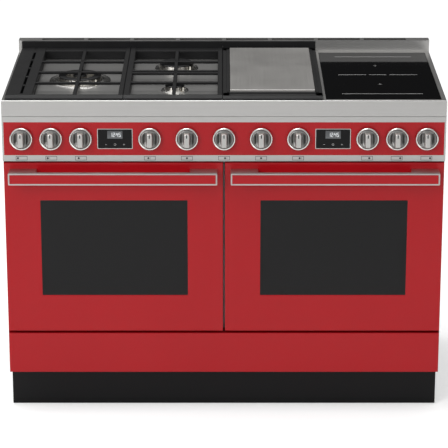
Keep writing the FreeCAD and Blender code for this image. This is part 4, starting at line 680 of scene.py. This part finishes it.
display_low, display_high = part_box("displays")
half_wide, BEZEL = 0.046, 0.0016
glasses, bezels, screens, digits, touches = [], [], [], [], []
for x in (display_low.x + half_wide, display_high.x - half_wide):
    z0, z1 = display_low.z, display_high.z
    face = display_low.y
    glasses.append(rounded_block((x - half_wide, x + half_wide), (face, FRONT + 0.0035), (z0, z1), 0.0007,
                                 axis="y"))
    outer, inner = (rounded_rectangle((x - half_wide - grow, x + half_wide + grow), (z0 - grow, z1 + grow),
                                      0.002)
                    for grow in (BEZEL, -0.0002))
    bezels.append(skin([np.column_stack([flat[:, 0], np.full(len(flat), depth), flat[:, 1]]) for flat,
                        depth in
                        ((outer, FRONT + 0.0005), (outer, face - 0.0001), (inner, face - 0.0004),
                         (inner, FRONT + 0.0005))], ring=True))
    screens.append(printed_strip((x - 0.0205, x + 0.0205), (z1 - 0.0258, z1 - 0.004), face))
    for sign, offset in zip("1245", (-0.0125, -0.0055, 0.0032, 0.0102)):
        digits += digit(sign, x + offset, z1 - 0.0208, y=face - 0.0002)
    for dot_z in (0.0165, 0.0128):
        digits.append(printed_dot(x + 0.0015, z1 - dot_z, 0.0006, y=face - 0.0002))
    mark_z = z0 + 0.0105
    touches += [printed_strip((x - 0.0265, x - 0.0215), (mark_z - 0.0004, mark_z + 0.0004), face),
                printed_strip((x + 0.0215, x + 0.0265), (mark_z - 0.0004, mark_z + 0.0004), face),
                printed_strip((x + 0.0236, x + 0.0244), (mark_z - 0.0025, mark_z + 0.0025), face),
                turned([(0.0022, 0.0), (0.003, 0.0), (0.003, 0.00015), (0.0022, 0.00015)],
                       (x, face, mark_z), 24, "y")]
piece("clock_glasses", [joined(glasses)], [BLACK_GLASS], "chassis", ["displays"])
piece("clock_bezels", [joined(bezels)], [STEEL], "chassis")
piece("clock_screens", [joined(screens)], [SCREEN.material], "chassis")
piece("clock_digits", [joined(digits)], [DIGITS.material], "chassis")
piece("touch_marks", [joined(touches)], [PALE_PRINT], "chassis")

# ---------------------------------------------------------------- knobs
# Each knob is a die-cast body: a bright turned ring, a satin disc with a scoop on each side and a tapered
# grip across it, with a dark index line inlaid at the top of the grip. The disc and the grip are one satin
# metal, painted darker on the disc as painted shading and lighter on the grip as a painted highlight.


def satin_metal(name, dark, light):
    """Satin-plated casting with an upright brushed look and soft clouding."""
    satin = Finish(name, metallic=1.0)
    lines = satin.noise(1.0, 3.0, satin.stretched((1300.0, 1300.0, 26.0)))
    satin.feed("Base Color", satin.mix(lines, paint(*dark), paint(*light)))
    satin.feed("Roughness", 0.3 + lines * 0.14)
    satin.bump(lines, 0.08, 0.0003)
    return satin.material


def bright_metal():
    """Polished plating with a faint haze."""
    bright = Finish("bright_ring", metallic=1.0, base_color=paint(226, 224, 221))
    bright.feed("Roughness", 0.1 + bright.noise(120.0, 3.0) * 0.12)
    return bright.material


def scooped_disc(x, z, front, radius, depth, rings=26, turns=72):
    """A disc with a scoop on each side of the grip: depth times exp(-((|dx| - c)/a)^2 - (dz/b)^4)."""
    r = np.linspace(0.0002, radius, rings)
    a = np.linspace(0, 2 * math.pi, turns, endpoint=False)
    rr, aa = np.meshgrid(r, a, indexing="ij")
    dx, dz = rr * np.cos(aa), rr * np.sin(aa)
    scoop = np.exp(-((np.abs(dx) - 0.0125) / 0.0052) ** 2 - (dz / 0.0165) ** 4)
    edge = 0.0012 * np.clip((rr - radius + 0.002) / 0.002, 0, 1) ** 2
    height = front + depth * scoop + edge
    grid = np.stack([x + dx, height, z + dz], -1)
    loops = list(grid) + [np.column_stack([grid[-1][:, 0], np.full(turns, front + 0.007), grid[-1][:, 2]])]
    return skin(loops)


def grip(x, z, back, front, wide, tall):
    """A tapered bar: rounded outlines that narrow by a fifth towards the user, with a soft front edge."""
    loops = []
    for share, inset in ((0.0, 0.0), (0.25, 0.0008), (0.55, 0.0014), (0.86, 0.0018), (0.94, 0.0022),
                         (0.985, 0.0031),
                         (1.0, 0.0044)):
        flat = rounded_rectangle((x - wide / 2 + inset, x + wide / 2 - inset),
                                 (z - tall / 2 + inset * 1.4, z + tall / 2 - inset * 0.8), 0.0038, 5)
        rise = back + (front - back) * share
        loops.append(np.column_stack([flat[:, 0], np.full(len(flat), rise), flat[:, 1]]))
    return skin(loops)


# One satin metal in two tones: the disc's darker copy is painted shading, the grip's lighter copy a painted
# highlight.
SATIN_DISC_PAINTED_SHADE = satin_metal("satin_disc_painted_shade", (112, 111, 110), (150, 149, 147))
SATIN_GRIP_PAINTED_HIGHLIGHT = satin_metal("satin_grip_painted_highlight", (176, 175, 172), (208, 207, 204))
BRIGHT = bright_metal()
DISC_RADIUS, DISC_FACE, SCOOP_DEPTH = 0.0248, 0.0135, 0.0072
GRIP_WIDE, GRIP_TALL, GRIP_ROOT = 0.0185, 0.042, 0.0115
INDEX_HALF, INDEX_FOOT, INDEX_HEAD = 0.0017, 0.0085, 0.0186
SHAFT_RADIUS, SHAFT_END = 0.004, -0.0198
for name, x in KNOBS.items():
    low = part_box(f"knob_{name}")[0]
    ring = turned([(0.0262, 0.006), (0.0255, 0.0085), (0.0262, 0.0112), (0.0275, 0.012), (0.0295, 0.0117),
                   (0.0309, 0.0102), (0.0315, 0.0078), (0.0315, 0.0048), (0.0305, 0.004), (0.0262, 0.004)],
                  (x, FRONT, KNOB_Z), 72, "y")
    disc = scooped_disc(x, KNOB_Z, FRONT - DISC_FACE, DISC_RADIUS, SCOOP_DEPTH)
    bar = grip(x, KNOB_Z, FRONT - GRIP_ROOT, low.y, GRIP_WIDE, GRIP_TALL)
    index = rounded_block((x - INDEX_HALF, x + INDEX_HALF), (low.y - 0.0001, low.y + 0.004),
                          (KNOB_Z + INDEX_FOOT, KNOB_Z + INDEX_HEAD),
                          0.0004, axis="y")
    parts = [disc, bar, ring, index]
    if not name.startswith("burner"):
        parts.insert(0, turned([(0.0002, SHAFT_END), (SHAFT_RADIUS, SHAFT_END), (SHAFT_RADIUS, 0.006),
                                (0.0002, 0.006)],
                               (x, FRONT, KNOB_Z), 24, "y"))
    metal = [SATIN_DISC_PAINTED_SHADE] * (len(parts) - 3) + [SATIN_GRIP_PAINTED_HIGHLIGHT, BRIGHT, DARK_PRINT]
    piece(f"knob_body_{name}", parts, metal, f"knob_{name}", [f"knob_{name}"])

# ---------------------------------------------------------------- oven doors
# Each door is an enamelled tray with a window of dark glass bonded behind it, an inner frame with the
# inner glass, and a handle the full width of the door: a steel bar with a coloured inlay on two brackets.


def tinted_glass():
    """Dark body-tinted glass; a little of the oven shows through it."""
    glass = Finish("tinted_glass", base_color=paint(12, 12, 13), alpha=0.9, specular_ior_level=0.28)
    glass.feed("Roughness", 0.02 + glass.noise(9.0, 3.0) * 0.04)
    return glass.material


def inner_door(seam):
    """One finish for a node of two materials: steel before the seam, inner glass beyond it."""
    finish = Finish("door_inner_glass", base_color=paint(30, 31, 32), roughness=0.05, alpha=0.8)
    steel = finish.node("BsdfPrincipled", {}, {"Metallic": 1.0, "Base Color": paint(150, 150, 150),
                                               "Roughness": 0.38})
    y = finish.node("SeparateXYZ", {}, {0: finish.place()}, output="Y")
    glass = Wire(finish, finish.shader.outputs[0])
    both = finish.node("MixShader", {}, {0: y > seam, 1: steel, 2: glass})
    finish.feed("Roughness", 0.04 + finish.noise(12.0) * 0.05)
    finish.tree.links.new(both.socket, finish.tree.nodes["Material Output"].inputs["Surface"])
    return finish.material


TINTED = tinted_glass()
inner_glass_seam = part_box("door_inner_left")[1].y - 0.004
dress(inner_door(inner_glass_seam + 0.0001), "door_inner_left", "door_inner_right")

LAP, BORDER, RECESS, BAR_DEEP, BRACKET = 0.012, 0.004, 0.002, 0.014, 0.074
for side in ("left", "right"):
    body = f"door_{side}"
    low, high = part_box(f"door_window_{side}")
    front_x, front_z = (low.x + LAP, high.x - LAP), (low.z + LAP, high.z - LAP)
    glass_face = rounded_block((front_x[0] + 0.0002, front_x[1] - 0.0002), (low.y, low.y + 0.002),
                               (front_z[0] + 0.0002, front_z[1] - 0.0002), 0.0004, axis="y")
    glass_back = rounded_block((low.x, high.x), (low.y + 0.001, high.y), (low.z, high.z), 0.0004, axis="y")
    piece(f"window_glass_{side}", [joined([glass_face, glass_back])], [TINTED], body,
          [f"door_window_{side}"])
    outer = rounded_rectangle((front_x[0] - 0.0002, front_x[1] + 0.0002),
                              (front_z[0] - 0.0002, front_z[1] + 0.0002),
                              0.003)
    inner = rounded_rectangle((front_x[0] + 0.0016, front_x[1] - 0.0016),
                              (front_z[0] + 0.0016, front_z[1] - 0.0016),
                              0.002)
    lip = [np.column_stack([flat[:, 0], np.full(len(flat), FRONT + depth), flat[:, 1]])
           for flat, depth in ((outer, -0.00005), (inner, 0.0004), (inner, 0.0009), (outer, 0.0009))]
    piece(f"window_lip_{side}", [skin(lip, ring=True)], [RED], body)

    low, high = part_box(f"door_handle_{side}")
    bar_back = low.y + BAR_DEEP
    loops = []
    for grow, depth, corner in ((0.0, bar_back, 0.002), (0.0, low.y + 0.0016, 0.002),
                                (-0.0005, low.y + 0.0005, 0.002),
                                (-0.0016, low.y, 0.0015), (-BORDER + 0.0006, low.y, 0.001),
                                (-BORDER, low.y + 0.0005, 0.0008), (-BORDER, low.y + RECESS, 0.0008)):
        flat = rounded_rectangle((low.x - grow, high.x + grow), (low.z - grow, high.z + grow), corner)
        loops.append(np.column_stack([flat[:, 0], np.full(len(flat), depth), flat[:, 1]]))
    parts = [skin(loops)]
    for x in ((low.x, low.x + BRACKET), (high.x - BRACKET, high.x)):
        parts.append(rounded_block(x, (bar_back - 0.003, high.y), (low.z + 0.001, high.z - 0.001), 0.0015))
    piece(f"handle_bar_{side}", [joined(parts)], [STEEL], body, [f"door_handle_{side}"])
    low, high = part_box(f"handle_inlay_{side}")
    piece(f"handle_colour_{side}",
          [rounded_block((low.x, high.x), (low.y, high.y), (low.z, high.z), 0.0005, axis="y")],
          [RED], body, [f"handle_inlay_{side}"])

# ---------------------------------------------------------------- inside the ovens
# Pressed cavities in dark speckled enamel with chromed ladders and shelves, a vented fan cover on the rear
# wall, a grill rod in the roof and a soft seal round the mouth.


def oven_enamel():
    """Dark ground-coat enamel with pale specks from a Voronoi pattern."""
    coatwork = Finish("oven_enamel", coat_weight=0.3)
    cells = coatwork.node("TexVoronoi", {}, {"Vector": coatwork.place(), "Scale": 420.0}, output="Distance")
    specks = coatwork.node("MapRange", {}, {"Value": cells, "From Min": 0.16, "From Max": 0.1})
    coatwork.feed("Base Color", coatwork.mix(specks * 0.6, paint(42, 43, 47), paint(128, 130, 136)))
    coatwork.feed("Roughness", 0.22 + coatwork.noise(40.0) * 0.12)
    coatwork.bump(coatwork.noise(240.0), 0.06, 0.0006)
    return coatwork.material


def plain_metal(name, dark, light, rough, scale, bump=0.1):
    """Metal with a mottled tone, as on zinc-coated sheet, wire and pipe."""
    metal = Finish(name, metallic=1.0)
    cloud = metal.noise(scale, 4.0)
    metal.feed("Base Color", metal.mix(cloud, paint(*dark), paint(*light)))
    metal.feed("Roughness", rough + cloud * 0.15)
    metal.bump(cloud, bump, 0.0005)
    return metal.material


dress(oven_enamel(), "oven_liner_left", "oven_liner_right", "fan_covers")
dress(plain_metal("chrome_wire", (196, 197, 200), (228, 229, 231), 0.1, 300.0, 0.05), "shelf_runners",
      "oven_shelves")
dress(plain_metal("fan_steel", (140, 139, 137), (180, 179, 177), 0.3, 90.0), "oven_fan_left",
      "oven_fan_right")
dress(plain_metal("element_sheath", (66, 60, 56), (104, 97, 92), 0.4, 160.0, 0.2), "heating_elements")
seal_finish = Finish("seal_rubber", specular_ior_level=0.3)
weave = seal_finish.noise(900.0, 2.0)
seal_finish.feed("Base Color", seal_finish.mix(weave, paint(34, 34, 35), paint(60, 60, 61)))
seal_finish.feed("Roughness", 0.6 + weave * 0.2)
seal_finish.bump(weave, 0.4, 0.0008)
dress(seal_finish.material, "oven_seals")

# ---------------------------------------------------------------- casing, base and gas parts
# Side sheets and plinth in black enamel, zinc-coated back, base, partition and drawer, brass taps, copper
# coils and moulded plastic switches and feet.


def zinc():
    """Zinc-coated sheet: large crystal flakes from a Voronoi pattern in tone and roughness."""
    sheet = Finish("galvanised_steel", metallic=0.9)
    flakes = sheet.node("TexVoronoi", {}, {"Vector": sheet.place(), "Scale": 55.0}, output="Color")
    tone = sheet.node("SeparateColor", {}, {0: flakes})
    sheet.feed("Base Color", sheet.mix(tone, paint(158, 161, 163), paint(186, 189, 191)))
    sheet.feed("Roughness", 0.36 + tone * 0.16)
    sheet.bump(sheet.noise(300.0), 0.05, 0.0004)
    return sheet.material


def moulded(name, dark, light):
    """Moulded plastic with a fine spark-eroded texture."""
    plastic = Finish(name, specular_ior_level=0.4)
    grain = plastic.noise(1500.0, 2.0)
    plastic.feed("Base Color", plastic.mix(grain, paint(*dark), paint(*light)))
    plastic.feed("Roughness", 0.45 + grain * 0.2)
    plastic.bump(grain, 0.2, 0.0003)
    return plastic.material


ZINC = zinc()
dress(ZINC, "base_frame", "back_panel", "centre_partition", "drawer_box", "door_hinges_left",
      "door_hinges_right")
dress(enamel("black_enamel", (20, 20, 21), (15, 15, 16), coat=0.05, peel=0.06, specular=0.15),
      "side_panels", "plinth")
dress(moulded("black_plastic", (22, 22, 23), (34, 34, 35)), "levelling_feet", "control_switches")
dress(plain_metal("brass", (160, 128, 72), (198, 166, 104), 0.25, 120.0), "gas_manifold",
      "spindle_burner_left", "spindle_burner_rear", "spindle_burner_front")
dress(plain_metal("copper_coil", (158, 92, 56), (196, 124, 84), 0.3, 500.0, 0.3), "induction_coils")
